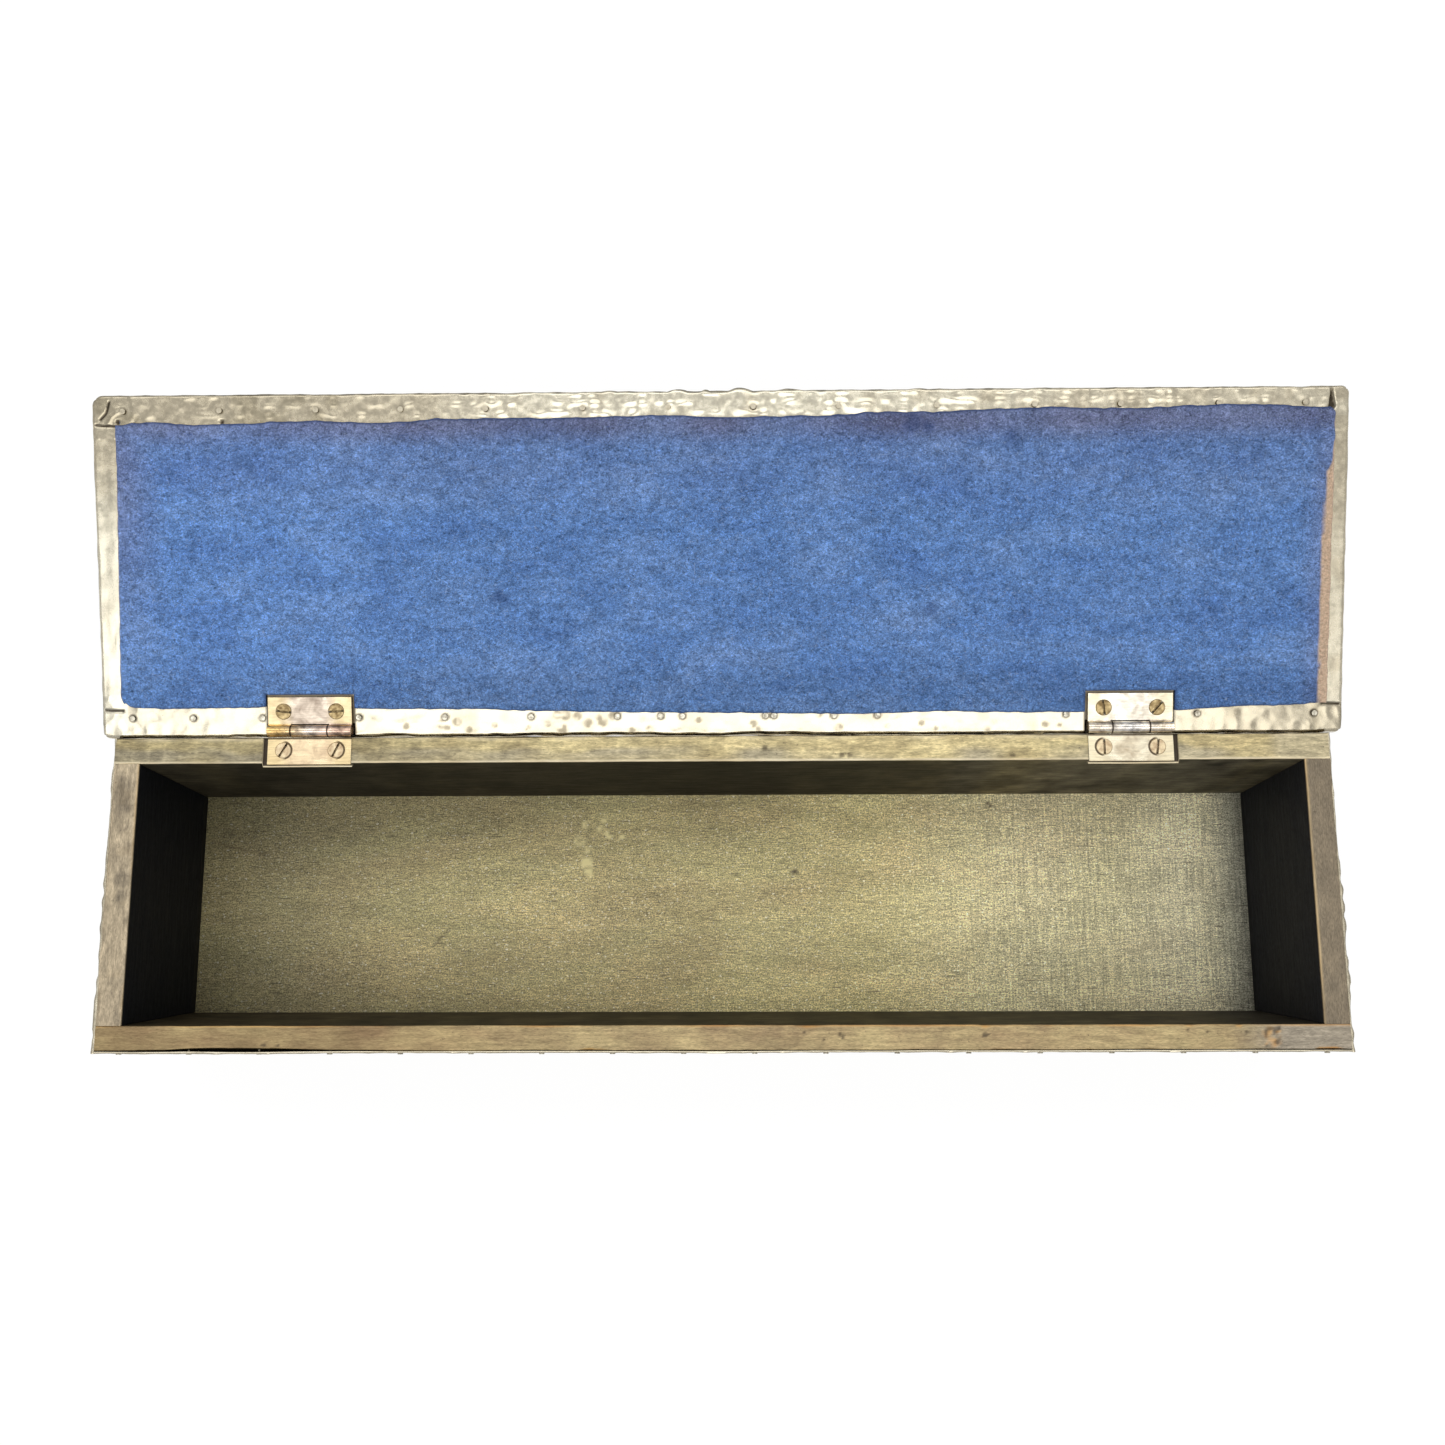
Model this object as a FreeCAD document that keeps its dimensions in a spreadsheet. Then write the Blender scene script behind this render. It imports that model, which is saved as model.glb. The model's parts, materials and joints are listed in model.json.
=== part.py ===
import FreeCAD, Part
import math
import os

import Sketcher

# A long wooden box covered with hammered metal sheet. Its lid, lined with felt, turns on two brass
# butt hinges and is drawn open, the way it rests when thrown right back.
# Millimetres, +Z up, front towards -Y. The origin is the centre of the underside.

SIZES = [
    # the wooden box, measured outside the wood
    ("box_length", "366.4"),
    ("box_width", "93.2"),
    ("inner_depth", "58"),
    ("wall_thickness", "7.7"),
    # how far the long boards thicken inwards on their way down to the floor
    ("wall_slope", "2.9"),
    ("floor_thickness", "8"),
    # the metal covering
    ("sheet_thickness", "0.3"),
    # the lid: overhangs are measured from the outside of the covered box
    ("lid_side_overhang", "4.5"),
    ("lid_front_overhang", "5.7"),
    ("lid_board_thickness", "7"),
    ("lid_open_angle", "165.7"),
    ("stop_gap", "0.25"),
    ("flange_width", "12.4"),
    # the felt lining; its margins are the metal border left bare on each side
    ("felt_thickness", "1"),
    ("felt_margin_left", "6.6"),
    ("felt_margin_right", "4.6"),
    ("felt_margin_front", "6.6"),
    ("felt_margin_rear", "8.4"),
    ("felt_clearance", "0.8"),
    ("closing_gap", "0.3"),
    # the hinges
    ("hinge_width", "25.4"),
    ("hinge_inset", "59.2"),
    ("leaf_thickness", "1"),
    ("leaf_reach", "10.2"),
    ("leaf_gap", "0.6"),
    ("knuckle_radius", "1.8"),
    ("middle_knuckle_length", "11.2"),
    ("hinge_pin_radius", "0.8"),
    ("axis_setback", "1.85"),
    ("pin_clearance", "0.05"),
    ("knuckle_end_clearance", "0.15"),
    ("knuckle_clearance", "0.3"),
    ("mortise_clearance", "0.6"),
    # the slotted hinge screws
    ("screw_head_radius", "2.4"),
    ("screw_head_crown", "0.15"),
    ("screw_head_depth", "0.9"),
    ("screw_shank_radius", "1.2"),
    ("screw_length", "7"),
    ("screw_point_length", "2"),
    ("screw_slot_width", "0.7"),
    ("screw_slot_depth", "0.6"),
    ("screw_spacing", "16"),
    ("screw_reach", "5.9"),
    # the nails in the wood
    ("nail_head_radius", "1.5"),
    ("nail_head_height", "0.8"),
    ("nail_shank_radius", "0.7"),
    ("nail_length", "22"),
    ("floor_nail_inset", "20"),
    # the small pins that hold the metal sheet
    ("tack_head_radius", "0.8"),
    ("tack_head_height", "0.35"),
    ("tack_shank_radius", "0.4"),
    ("tack_length", "3.5"),
    ("tack_end_inset", "6"),
    ("tack_drop", "4"),
    ("back_tack_drop", "11"),
    ("lid_front_tack_inset", "5"),
    ("lid_rear_tack_inset", "5.9"),
    ("tack_hinge_gap", "2"),
    # room left round fasteners in their holes, and past their points
    ("hole_clearance", "0.05"),
    ("hole_end_clearance", "0.4"),
    # how far every cutting shape runs past the face it starts from
    ("cut_overrun", "1"),
]

CORNER_NAIL_HEIGHT_SHARES = (1 / 6, 1 / 2, 5 / 6)
END_FLOOR_NAIL_SHARES = (-1 / 6, 1 / 6)
LONG_FLOOR_NAIL_COUNT = 6
LONG_TACK_COUNT = 18
END_TACK_COUNT = 5

# The lid's pins were set by eye. Each share is how far along its row a pin stands, from left to right.
LID_FRONT_TACK_SHARES = (0.01, 0.09, 0.17, 0.24, 0.31, 0.39, 0.46, 0.53, 0.6, 0.68, 0.76, 0.83, 0.91, 0.98)
LID_REAR_LEFT_TACK_SHARES = (0.08, 0.51, 1)
LID_REAR_MIDDLE_TACK_SHARES = (0, 0.12, 0.24, 0.36, 0.42, 0.45, 0.565, 0.577, 0.66, 0.72, 0.98)
LID_REAR_RIGHT_TACK_SHARES = (0.13, 0.94)

# Turn of each screw's slot about the screw, in degrees from the length of the box.
BODY_SCREW_SLOT_ANGLES = {"left": (60, 65), "right": (90, 82)}
LID_SCREW_SLOT_ANGLES = {"left": (172, 4), "right": (98, 48)}

SIDES = {"left": -1, "right": 1}

X_DIRECTION = FreeCAD.Vector(1, 0, 0)
Y_DIRECTION = FreeCAD.Vector(0, 1, 0)
Z_DIRECTION = FreeCAD.Vector(0, 0, 1)


class Formula:
    """A size as a number, and as the text that binds a feature to the sheet."""

    def __init__(self, text, number):
        self.text = text
        self.number = number

    def __float__(self):
        return self.number

    def __add__(self, other):
        other = as_formula(other)
        return Formula(f"({self.text} + {other.text})", self.number + other.number)

    def __sub__(self, other):
        other = as_formula(other)
        return Formula(f"({self.text} - {other.text})", self.number - other.number)

    def __mul__(self, other):
        other = as_formula(other)
        return Formula(f"({self.text} * {other.text})", self.number * other.number)

    def __truediv__(self, other):
        other = as_formula(other)
        return Formula(f"({self.text} / {other.text})", self.number / other.number)

    def __neg__(self):
        return Formula(f"(-{self.text})", -self.number)

    __radd__ = __add__
    __rmul__ = __mul__


def as_formula(value):
    if isinstance(value, Formula):
        return value
    return Formula(f"({value})", float(value))


def sine(angle):
    return Formula(f"sin({angle.text})", math.sin(math.radians(angle.number)))


def cosine(angle):
    return Formula(f"cos({angle.text})", math.cos(math.radians(angle.number)))


def make_sheet():
    """Write the driving sizes into the sheet and return each one as a formula."""
    sheet = doc.addObject("Spreadsheet::Sheet", "Sizes")
    for row, (alias, number) in enumerate(SIZES, start=1):
        sheet.set(f"A{row}", alias)
        sheet.set(f"B{row}", number)
        sheet.setAlias(f"B{row}", alias)
    doc.recompute()
    return {alias: Formula(f"Sizes.{alias}", float(sheet.get(alias))) for alias, number in SIZES}


doc = FreeCAD.newDocument("hinged_box")
size = make_sheet()
nodes = {}

sheet_thickness = size["sheet_thickness"]
wall_thickness = size["wall_thickness"]
cut_overrun = size["cut_overrun"]

# Places that follow from the sizes of the box
half_length = size["box_length"] / 2
half_width = size["box_width"] / 2
outer_length = size["box_length"] + 2 * sheet_thickness
outer_half_width = half_width + sheet_thickness
floor_top = size["floor_thickness"]
wall_top = floor_top + size["inner_depth"]
wall_foot_thickness = wall_thickness + size["wall_slope"]

# Places that follow from the hinges: the axis runs along X, behind the back sheet
leaf_plane = size["leaf_gap"] / 2 + size["leaf_thickness"]
lid_rise = size["felt_thickness"] + size["closing_gap"]
axis_y = outer_half_width + size["axis_setback"]
axis_z = wall_top + lid_rise - leaf_plane
mortise_floor = axis_z - leaf_plane
mortise_width = size["hinge_width"] + 2 * size["mortise_clearance"]
hinge_x = half_length - size["hinge_inset"]

# The lid is drawn closed, about the hinge axis, and turned open afterwards.
# Its rear edge stops just short of the back sheet when the lid is fully open.
lid_length = outer_length + 2 * size["lid_side_overhang"]
lid_rear = (
    (size["axis_setback"] - size["stop_gap"] + leaf_plane * sine(size["lid_open_angle"]))
    / -cosine(size["lid_open_angle"])
)
lid_front = -(size["axis_setback"] + 2 * outer_half_width + size["lid_front_overhang"])
lid_board_underside = leaf_plane + sheet_thickness


def bind(feature, name, formula):
    feature.setExpression(name, formula.text)


def new_body(name):
    return doc.addObject("PartDesign::Body", name)


def set_node(name, feature):
    feature.Label = name
    nodes[name] = feature


def place_coordinate(sketch, kind, line, value):
    """Fix one coordinate of a line's first point, on the axis where it is zero."""
    if isinstance(value, Formula):
        index = sketch.addConstraint(Sketcher.Constraint(kind, line, 1, value.number))
        sketch.setExpression(f"Constraints[{index}]", value.text)
        return
    axis = -2 if kind == "DistanceX" else -1
    sketch.addConstraint(Sketcher.Constraint("PointOnObject", line, 1, axis))


def new_sketch(body, plane, name):
    sketch = body.newObject("Sketcher::SketchObject", name)
    support = next(item for item in body.Origin.OriginFeatures if item.Role == plane)
    sketch.AttachmentSupport = [(support, "")]
    sketch.MapMode = "FlatFace"
    return sketch


def draw(body, plane, name, outlines):
    """A sketch of closed straight-sided outlines, each a list of corners."""
    sketch = new_sketch(body, plane, name)
    for corners in outlines:
        first_line = sketch.GeometryCount
        points = [FreeCAD.Vector(float(across), float(along), 0) for across, along in corners]
        for start, end in zip(points, points[1:] + points[:1]):
            sketch.addGeometry(Part.LineSegment(start, end))
        for step, (across, along) in enumerate(corners):
            line = first_line + step
            following = first_line + (step + 1) % len(corners)
            sketch.addConstraint(Sketcher.Constraint("Coincident", line, 2, following, 1))
        for step, (across, along) in enumerate(corners):
            place_coordinate(sketch, "DistanceX", first_line + step, across)
            place_coordinate(sketch, "DistanceY", first_line + step, along)
    return sketch


def draw_circle(body, plane, name, radius):
    """A sketch of one circle about the body's own origin."""
    sketch = new_sketch(body, plane, name)
    sketch.addGeometry(Part.Circle(FreeCAD.Vector(), Z_DIRECTION, float(radius)))
    sketch.addConstraint(Sketcher.Constraint("Coincident", 0, 3, -1, 1))
    index = sketch.addConstraint(Sketcher.Constraint("Radius", 0, float(radius)))
    sketch.setExpression(f"Constraints[{index}]", radius.text)
    return sketch


def rectangle(low_across, low_along, high_across, high_along):
    return [
        (low_across, low_along),
        (high_across, low_along),
        (high_across, high_along),
        (low_across, high_along),
    ]


def centred(middle, width, low_along, high_along):
    """A rectangle of the given width about a middle line."""
    return rectangle(middle - width / 2, low_along, middle + width / 2, high_along)


def pad(body, name, sketch, length, symmetric=False, reverse=False):
    feature = body.newObject("PartDesign::Pad", name)
    feature.Profile = sketch
    feature.SideType = "Symmetric" if symmetric else "One side"
    feature.Reversed = reverse
    bind(feature, "Length", length)
    doc.recompute()
    return feature


def pocket(body, name, sketch, length=None, reverse=False):
    """Cut a sketch out of a body: to a length, or both ways right through."""
    volume_before = body.Shape.Volume
    feature = body.newObject("PartDesign::Pocket", name)
    feature.Profile = sketch
    feature.Reversed = reverse
    if length is None:
        feature.Type = "ThroughAll"
        feature.SideType = "Symmetric"
    else:
        bind(feature, "Length", length)
    doc.recompute()
    if not body.Shape.Volume < volume_before:
        raise RuntimeError(f"{name} cuts nothing from {body.Name}")
    return feature


def shift(feature, **formulas):
    """Bind a feature's place to the sheet, one axis at a time."""
    for axis, formula in formulas.items():
        bind(feature, f"Placement.Base.{axis}", formula)


def open_with_lid(feature):
    """Carry a piece drawn in the closed lid's frame to the hinge axis, turned open."""
    feature.Placement = FreeCAD.Placement(FreeCAD.Vector(), FreeCAD.Rotation(X_DIRECTION, 0))
    bind(feature, "Placement.Rotation.Angle", -size["lid_open_angle"])
    shift(feature, y=axis_y, z=axis_z)


def point(across, along, up):
    return FreeCAD.Vector(float(across), float(along), float(up))


def evenly(start, end, count):
    """Places in a row, both ends included."""
    return along_row(start, end, [step / (count - 1) for step in range(count)])


def along_row(start, end, shares):
    """Places at the given shares of the way along a row."""
    return [start + (end - start) * share for share in shares]


def driven(places, direction):
    """Where fasteners go: each head at a place, each shank pointing along the direction."""
    turn = FreeCAD.Rotation(-Z_DIRECTION, direction)
    return [FreeCAD.Placement(place, turn) for place in places]


def copies(shape, placements):
    return [shape.transformed(placement.toMatrix(), copy=True) for placement in placements]


def fastener_group(name, fastener, placements):
    """One node of separate, equal fasteners."""
    group = doc.addObject("Part::Feature", name)
    group.Shape = Part.makeCompound(copies(fastener.Shape, placements))
    set_node(name, group)
    return group


def drilled(name, blank, holes):
    """The node that is left when holes are drilled into a blank."""
    drills = doc.addObject("Part::Feature", f"{name}_drills")
    drills.Shape = Part.makeCompound(holes)
    piece = doc.addObject("Part::Cut", name)
    piece.Base = blank
    piece.Tool = drills
    doc.recompute()
    if not piece.Shape.Volume < blank.Shape.Volume:
        raise RuntimeError(f"the holes miss {name}")
    set_node(name, piece)
    return piece


def cylinder(name, radius, length, base_z):
    feature = doc.addObject("Part::Cylinder", name)
    bind(feature, "Radius", radius)
    bind(feature, "Height", length)
    shift(feature, z=base_z)
    return feature


def cone(name, low_radius, high_radius, length, base_z):
    feature = doc.addObject("Part::Cone", name)
    bind(feature, "Radius1", low_radius)
    bind(feature, "Radius2", high_radius)
    bind(feature, "Height", length)
    shift(feature, z=base_z)
    return feature


def fused(name, pieces):
    feature = doc.addObject("Part::MultiFuse", name)
    feature.Shapes = pieces
    feature.Refine = True
    doc.recompute()
    return feature


# Fasteners. Each stands on its own origin, at the face it is driven through, shank downwards.

def make_tack():
    """A small pin whose round head stands on the metal sheet."""
    head = cylinder("tack_head", size["tack_head_radius"], size["tack_head_height"], as_formula(0))
    shank = cylinder("tack_shank", size["tack_shank_radius"], size["tack_length"], -size["tack_length"])
    return fused("tack", [head, shank])


def make_nail():
    """A wire nail whose flat head is driven flush."""
    head_height = size["nail_head_height"]
    shank_length = size["nail_length"] - head_height
    head = cylinder("nail_head", size["nail_head_radius"], head_height, -head_height)
    shank = cylinder("nail_shank", size["nail_shank_radius"], shank_length, -size["nail_length"])
    return fused("nail", [head, shank])


def make_screw():
    """A countersunk wood screw with a low crown, before its slot is cut."""
    head_radius = size["screw_head_radius"]
    head_depth = size["screw_head_depth"]
    crown = size["screw_head_crown"]
    shank_radius = size["screw_shank_radius"]
    point_length = size["screw_point_length"]
    point_base = -size["screw_length"]
    shank_base = point_base + point_length
    pieces = [
        cone("screw_crown", head_radius, head_radius - crown, crown, as_formula(0)),
        cone("screw_head", shank_radius, head_radius, head_depth, -head_depth),
        cylinder("screw_shank", shank_radius, -shank_base - head_depth, shank_base),
        cone("screw_point", as_formula(0), shank_radius, point_length, point_base),
    ]
    return fused("screw", pieces)


def slotted_screw(screw, name, slot_angle):
    """A copy of the screw with its driving slot turned by the given angle."""
    slot_length = 2 * size["screw_head_radius"] + 2 * cut_overrun
    slot_height = size["screw_slot_depth"] + size["screw_head_crown"]
    slot = doc.addObject("Part::Box", f"{name}_slot")
    bind(slot, "Length", slot_length)
    bind(slot, "Width", size["screw_slot_width"])
    bind(slot, "Height", slot_height)
    turn = FreeCAD.Rotation(Z_DIRECTION, slot_angle)
    corner = point(-slot_length / 2, -size["screw_slot_width"] / 2, size["screw_head_crown"] - slot_height)
    slot.Placement = FreeCAD.Placement(turn.multVec(corner), turn)
    piece = doc.addObject("Part::Cut", name)
    piece.Base = screw
    piece.Tool = slot
    doc.recompute()
    return piece


# Holes, one for each kind of fastener and on the same origins.

def round_hole(radius, top, bottom):
    """A drilled hole between two heights."""
    hole_radius = float(radius + size["hole_clearance"])
    return Part.makeCylinder(hole_radius, float(top - bottom), point(0, 0, bottom))


def tack_hole():
    bottom = -(size["tack_length"] + size["hole_end_clearance"])
    return round_hole(size["tack_shank_radius"], cut_overrun, bottom)


def nail_hole():
    bottom = -(size["nail_length"] + size["hole_end_clearance"])
    shank = round_hole(size["nail_shank_radius"], cut_overrun, bottom)
    head = round_hole(size["nail_head_radius"], cut_overrun, -size["nail_head_height"])
    return shank.fuse(head)


def screw_hole():
    clearance = size["hole_clearance"]
    bottom = -(size["screw_length"] + size["hole_end_clearance"])
    shank = round_hole(size["screw_shank_radius"], cut_overrun, bottom)
    mouth = round_hole(size["screw_head_radius"], cut_overrun, as_formula(0))
    countersink = Part.makeCone(
        float(size["screw_shank_radius"] + clearance),
        float(size["screw_head_radius"] + clearance),
        float(size["screw_head_depth"]),
        point(0, 0, -size["screw_head_depth"]),
    )
    return shank.fuse([mouth, countersink])


# Places of the fasteners

def corner_nail_placements(wall_side):
    """Nails through a long board, wall_side -1 at the front and 1 at the back, into the end boards."""
    nail_x = half_length - wall_thickness / 2
    places = [
        point(end * nail_x, wall_side * half_width, floor_top + size["inner_depth"] * share)
        for end in SIDES.values()
        for share in CORNER_NAIL_HEIGHT_SHARES
    ]
    return driven(places, Y_DIRECTION * -wall_side)


def long_floor_nail_placements(wall_side):
    """Nails up through the floor into a long board."""
    end_x = half_length - size["floor_nail_inset"]
    nail_y = wall_side * (half_width - wall_foot_thickness / 2)
    places = [point(nail_x, nail_y, 0) for nail_x in evenly(-end_x, end_x, LONG_FLOOR_NAIL_COUNT)]
    return driven(places, Z_DIRECTION)


def end_floor_nail_placements(end):
    """Nails up through the floor into an end board."""
    nail_x = end * (half_length - wall_thickness / 2)
    places = [point(nail_x, size["box_width"] * share, 0) for share in END_FLOOR_NAIL_SHARES]
    return driven(places, Z_DIRECTION)


def long_tack_placements(wall_side, height):
    """A row of pins in the front or back sheet."""
    end_x = half_length - size["tack_end_inset"]
    places = [
        point(tack_x, wall_side * outer_half_width, height)
        for tack_x in evenly(-end_x, end_x, LONG_TACK_COUNT)
    ]
    return driven(places, Y_DIRECTION * -wall_side)


def end_tack_placements(end, height):
    """A row of pins in the sheet of one end."""
    end_y = half_width - size["tack_end_inset"]
    places = [
        point(end * outer_length / 2, tack_y, height) for tack_y in evenly(-end_y, end_y, END_TACK_COUNT)
    ]
    return driven(places, X_DIRECTION * -end)


def lid_front_tack_placements():
    """Pins along the front of the lid's folded border, driven up from below."""
    end_x = lid_length / 2 - size["tack_end_inset"]
    tack_y = lid_front + size["lid_front_tack_inset"]
    row = along_row(-end_x, end_x, LID_FRONT_TACK_SHARES)
    return driven([point(tack_x, tack_y, leaf_plane) for tack_x in row], Z_DIRECTION)


def lid_rear_tack_placements():
    """Pins along the rear border: one run beyond each hinge and one between the hinges."""
    end_x = lid_length / 2 - size["tack_end_inset"]
    hinge_gap = size["hinge_width"] / 2 + size["tack_hinge_gap"]
    tack_y = lid_rear - size["lid_rear_tack_inset"]
    runs = [
        along_row(-end_x, -hinge_x - hinge_gap, LID_REAR_LEFT_TACK_SHARES),
        along_row(hinge_gap - hinge_x, hinge_x - hinge_gap, LID_REAR_MIDDLE_TACK_SHARES),
        along_row(hinge_x + hinge_gap, end_x, LID_REAR_RIGHT_TACK_SHARES),
    ]
    places = [point(tack_x, tack_y, leaf_plane) for run in runs for tack_x in run]
    return driven(places, Z_DIRECTION)


def screw_xs(side):
    middle = SIDES[side] * hinge_x
    return [middle - size["screw_spacing"] / 2, middle + size["screw_spacing"] / 2]


def body_screw_placements(side):
    """Two screws down through a body leaf."""
    screw_y = axis_y - size["screw_reach"]
    screw_z = axis_z - size["leaf_gap"] / 2
    return driven([point(screw_x, screw_y, screw_z) for screw_x in screw_xs(side)], -Z_DIRECTION)


def lid_screw_placements(side):
    """Two screws up through a lid leaf, in the closed lid's frame."""
    places = [point(screw_x, -size["screw_reach"], size["leaf_gap"] / 2) for screw_x in screw_xs(side)]
    return driven(places, Z_DIRECTION)


# The wooden box

def make_floor():
    body = new_body("floor_blank")
    outline = rectangle(-half_length, -half_width, half_length, half_width)
    pad(body, "floor_pad", draw(body, "XY_Plane", "floor_outline", [outline]), size["floor_thickness"])
    placements = [
        placement
        for side in SIDES.values()
        for placement in long_floor_nail_placements(side) + end_floor_nail_placements(side)
    ]
    holes = copies(nail_hole(), placements)
    base_height = size["floor_thickness"] / 2
    for side in SIDES.values():
        holes += copies(tack_hole(), long_tack_placements(side, base_height))
        holes += copies(tack_hole(), end_tack_placements(side, base_height))
    drilled("floor_board", body, holes)


def make_long_wall(name, wall_side, tack_drop):
    """The front or back board: straight outside, its inner face coming in towards the floor."""
    body = new_body(f"{name}_blank")
    outside = wall_side * half_width
    section = [
        (outside, floor_top),
        (wall_side * (half_width - wall_foot_thickness), floor_top),
        (wall_side * (half_width - wall_thickness), wall_top),
        (outside, wall_top),
    ]
    sketch = draw(body, "YZ_Plane", f"{name}_section", [section])
    pad(body, f"{name}_pad", sketch, size["box_length"], symmetric=True)
    holes = copies(nail_hole(), corner_nail_placements(wall_side) + long_floor_nail_placements(wall_side))
    holes += copies(tack_hole(), long_tack_placements(wall_side, wall_top - tack_drop))
    for end in SIDES.values():
        holes += copies(tack_hole(), end_tack_placements(end, wall_top - size["tack_drop"]))
    return body, holes


def make_front_wall():
    body, holes = make_long_wall("front_wall", -1, size["tack_drop"])
    drilled("front_wall", body, holes)


def make_back_wall():
    """The back board has a mortise in its top edge for each hinge."""
    body, holes = make_long_wall("back_wall", 1, size["back_tack_drop"])
    mortises = draw(body, "XZ_Plane", "back_wall_mortises", hinge_notches(mortise_floor))
    pocket(body, "back_wall_mortise_cut", mortises)
    for side in SIDES:
        holes += copies(screw_hole(), body_screw_placements(side))
    drilled("back_wall", body, holes)


def hinge_notches(bottom):
    """Notches down from the top edge, one at each hinge."""
    return [
        centred(direction * hinge_x, mortise_width, bottom, wall_top + cut_overrun)
        for direction in SIDES.values()
    ]


def make_end_wall(side):
    """An end board, held between the long boards and cut to their slope."""
    name = f"{side}_wall"
    end = SIDES[side]
    top_half = half_width - wall_thickness
    foot_half = half_width - wall_foot_thickness
    body = new_body(f"{name}_blank")
    section = [(-foot_half, floor_top), (foot_half, floor_top), (top_half, wall_top), (-top_half, wall_top)]
    sketch = draw(body, "YZ_Plane", f"{name}_section", [section])
    pad(body, f"{name}_pad", sketch, wall_thickness, symmetric=True)
    shift(body, x=end * (half_length - wall_thickness / 2))
    doc.recompute()
    placements = corner_nail_placements(-1) + corner_nail_placements(1) + end_floor_nail_placements(end)
    holes = copies(nail_hole(), placements)
    holes += copies(tack_hole(), end_tack_placements(end, wall_top - size["tack_drop"]))
    drilled(name, body, holes)


# The metal covering of the box

def make_long_cladding(name, wall_side, tack_drop):
    """The sheet on the front or back; the back one is notched where the hinges pass over it."""
    body = new_body(f"{name}_blank")
    outline = rectangle(-half_length, 0, half_length, wall_top)
    sketch = draw(body, "XZ_Plane", f"{name}_outline", [outline])
    pad(body, f"{name}_pad", sketch, sheet_thickness, reverse=wall_side > 0)
    if wall_side > 0:
        notches = draw(body, "XZ_Plane", f"{name}_notches", hinge_notches(mortise_floor))
        pocket(body, f"{name}_notch_cut", notches)
    shift(body, y=wall_side * half_width)
    doc.recompute()
    holes = copies(tack_hole(), long_tack_placements(wall_side, wall_top - tack_drop))
    holes += copies(tack_hole(), long_tack_placements(wall_side, size["floor_thickness"] / 2))
    drilled(name, body, holes)


def make_end_cladding(side):
    """The sheet on one end; it covers the cut edges of the front and back sheets."""
    name = f"{side}_cladding"
    end = SIDES[side]
    body = new_body(f"{name}_blank")
    outline = rectangle(-outer_half_width, 0, outer_half_width, wall_top)
    sketch = draw(body, "YZ_Plane", f"{name}_outline", [outline])
    pad(body, f"{name}_pad", sketch, sheet_thickness, reverse=end < 0)
    shift(body, x=end * half_length)
    doc.recompute()
    holes = copies(tack_hole(), end_tack_placements(end, wall_top - size["tack_drop"]))
    holes += copies(tack_hole(), end_tack_placements(end, size["floor_thickness"] / 2))
    drilled(name, body, holes)


# The lid, drawn closed about the hinge axis

def knuckle_recesses(body, name):
    """Room under the lid's rear edge for the hinge knuckles."""
    reach = size["knuckle_radius"] + size["knuckle_clearance"]
    outlines = [
        centred(direction * hinge_x, mortise_width, -reach, lid_rear + cut_overrun)
        for direction in SIDES.values()
    ]
    sketch = draw(body, "XY_Plane", f"{name}_recess_outline", outlines)
    pocket(body, f"{name}_recess", sketch, reach, reverse=True)


def make_slab(name, inset, underside, thickness):
    """A flat slab with the lid's outline, drawn in by an inset."""
    body = new_body(f"{name}_blank")
    outline = rectangle(inset - lid_length / 2, lid_front + inset, lid_length / 2 - inset, lid_rear - inset)
    sketch = draw(body, "XY_Plane", f"{name}_outline", [outline])
    bind(sketch, "AttachmentOffset.Base.z", underside)
    pad(body, f"{name}_pad", sketch, thickness)
    return body


def lid_holes():
    holes = copies(tack_hole(), lid_front_tack_placements() + lid_rear_tack_placements())
    for side in SIDES:
        holes += copies(screw_hole(), lid_screw_placements(side))
    return holes


def make_lid_board():
    body = make_slab("lid_board", sheet_thickness, lid_board_underside, size["lid_board_thickness"])
    knuckle_recesses(body, "lid_board")
    open_with_lid(drilled("lid_board", body, lid_holes()))


def felt_window():
    """The gap in the folded border, where the felt is glued to the board."""
    inset = size["flange_width"]
    return rectangle(inset - lid_length / 2, lid_front + inset, lid_length / 2 - inset, lid_rear - inset)


def make_lid_cladding():
    """One sheet over the lid's top and edges, folded in underneath as a border."""
    thickness = size["lid_board_thickness"] + 2 * sheet_thickness
    body = make_slab("lid_cladding", as_formula(0), leaf_plane, thickness)
    window = draw(body, "XY_Plane", "lid_cladding_window", [felt_window()])
    pocket(body, "lid_cladding_window_cut", window, lid_board_underside, reverse=True)
    inset = sheet_thickness
    hollow = rectangle(inset - lid_length / 2, lid_front + inset, lid_length / 2 - inset, lid_rear - inset)
    hollow_sketch = draw(body, "XY_Plane", "lid_cladding_hollow", [hollow])
    bind(hollow_sketch, "AttachmentOffset.Base.z", lid_board_underside)
    pocket(body, "lid_cladding_hollow_cut", hollow_sketch, size["lid_board_thickness"], reverse=True)
    knuckle_recesses(body, "lid_cladding")
    open_with_lid(drilled("lid_cladding", body, lid_holes()))


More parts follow.
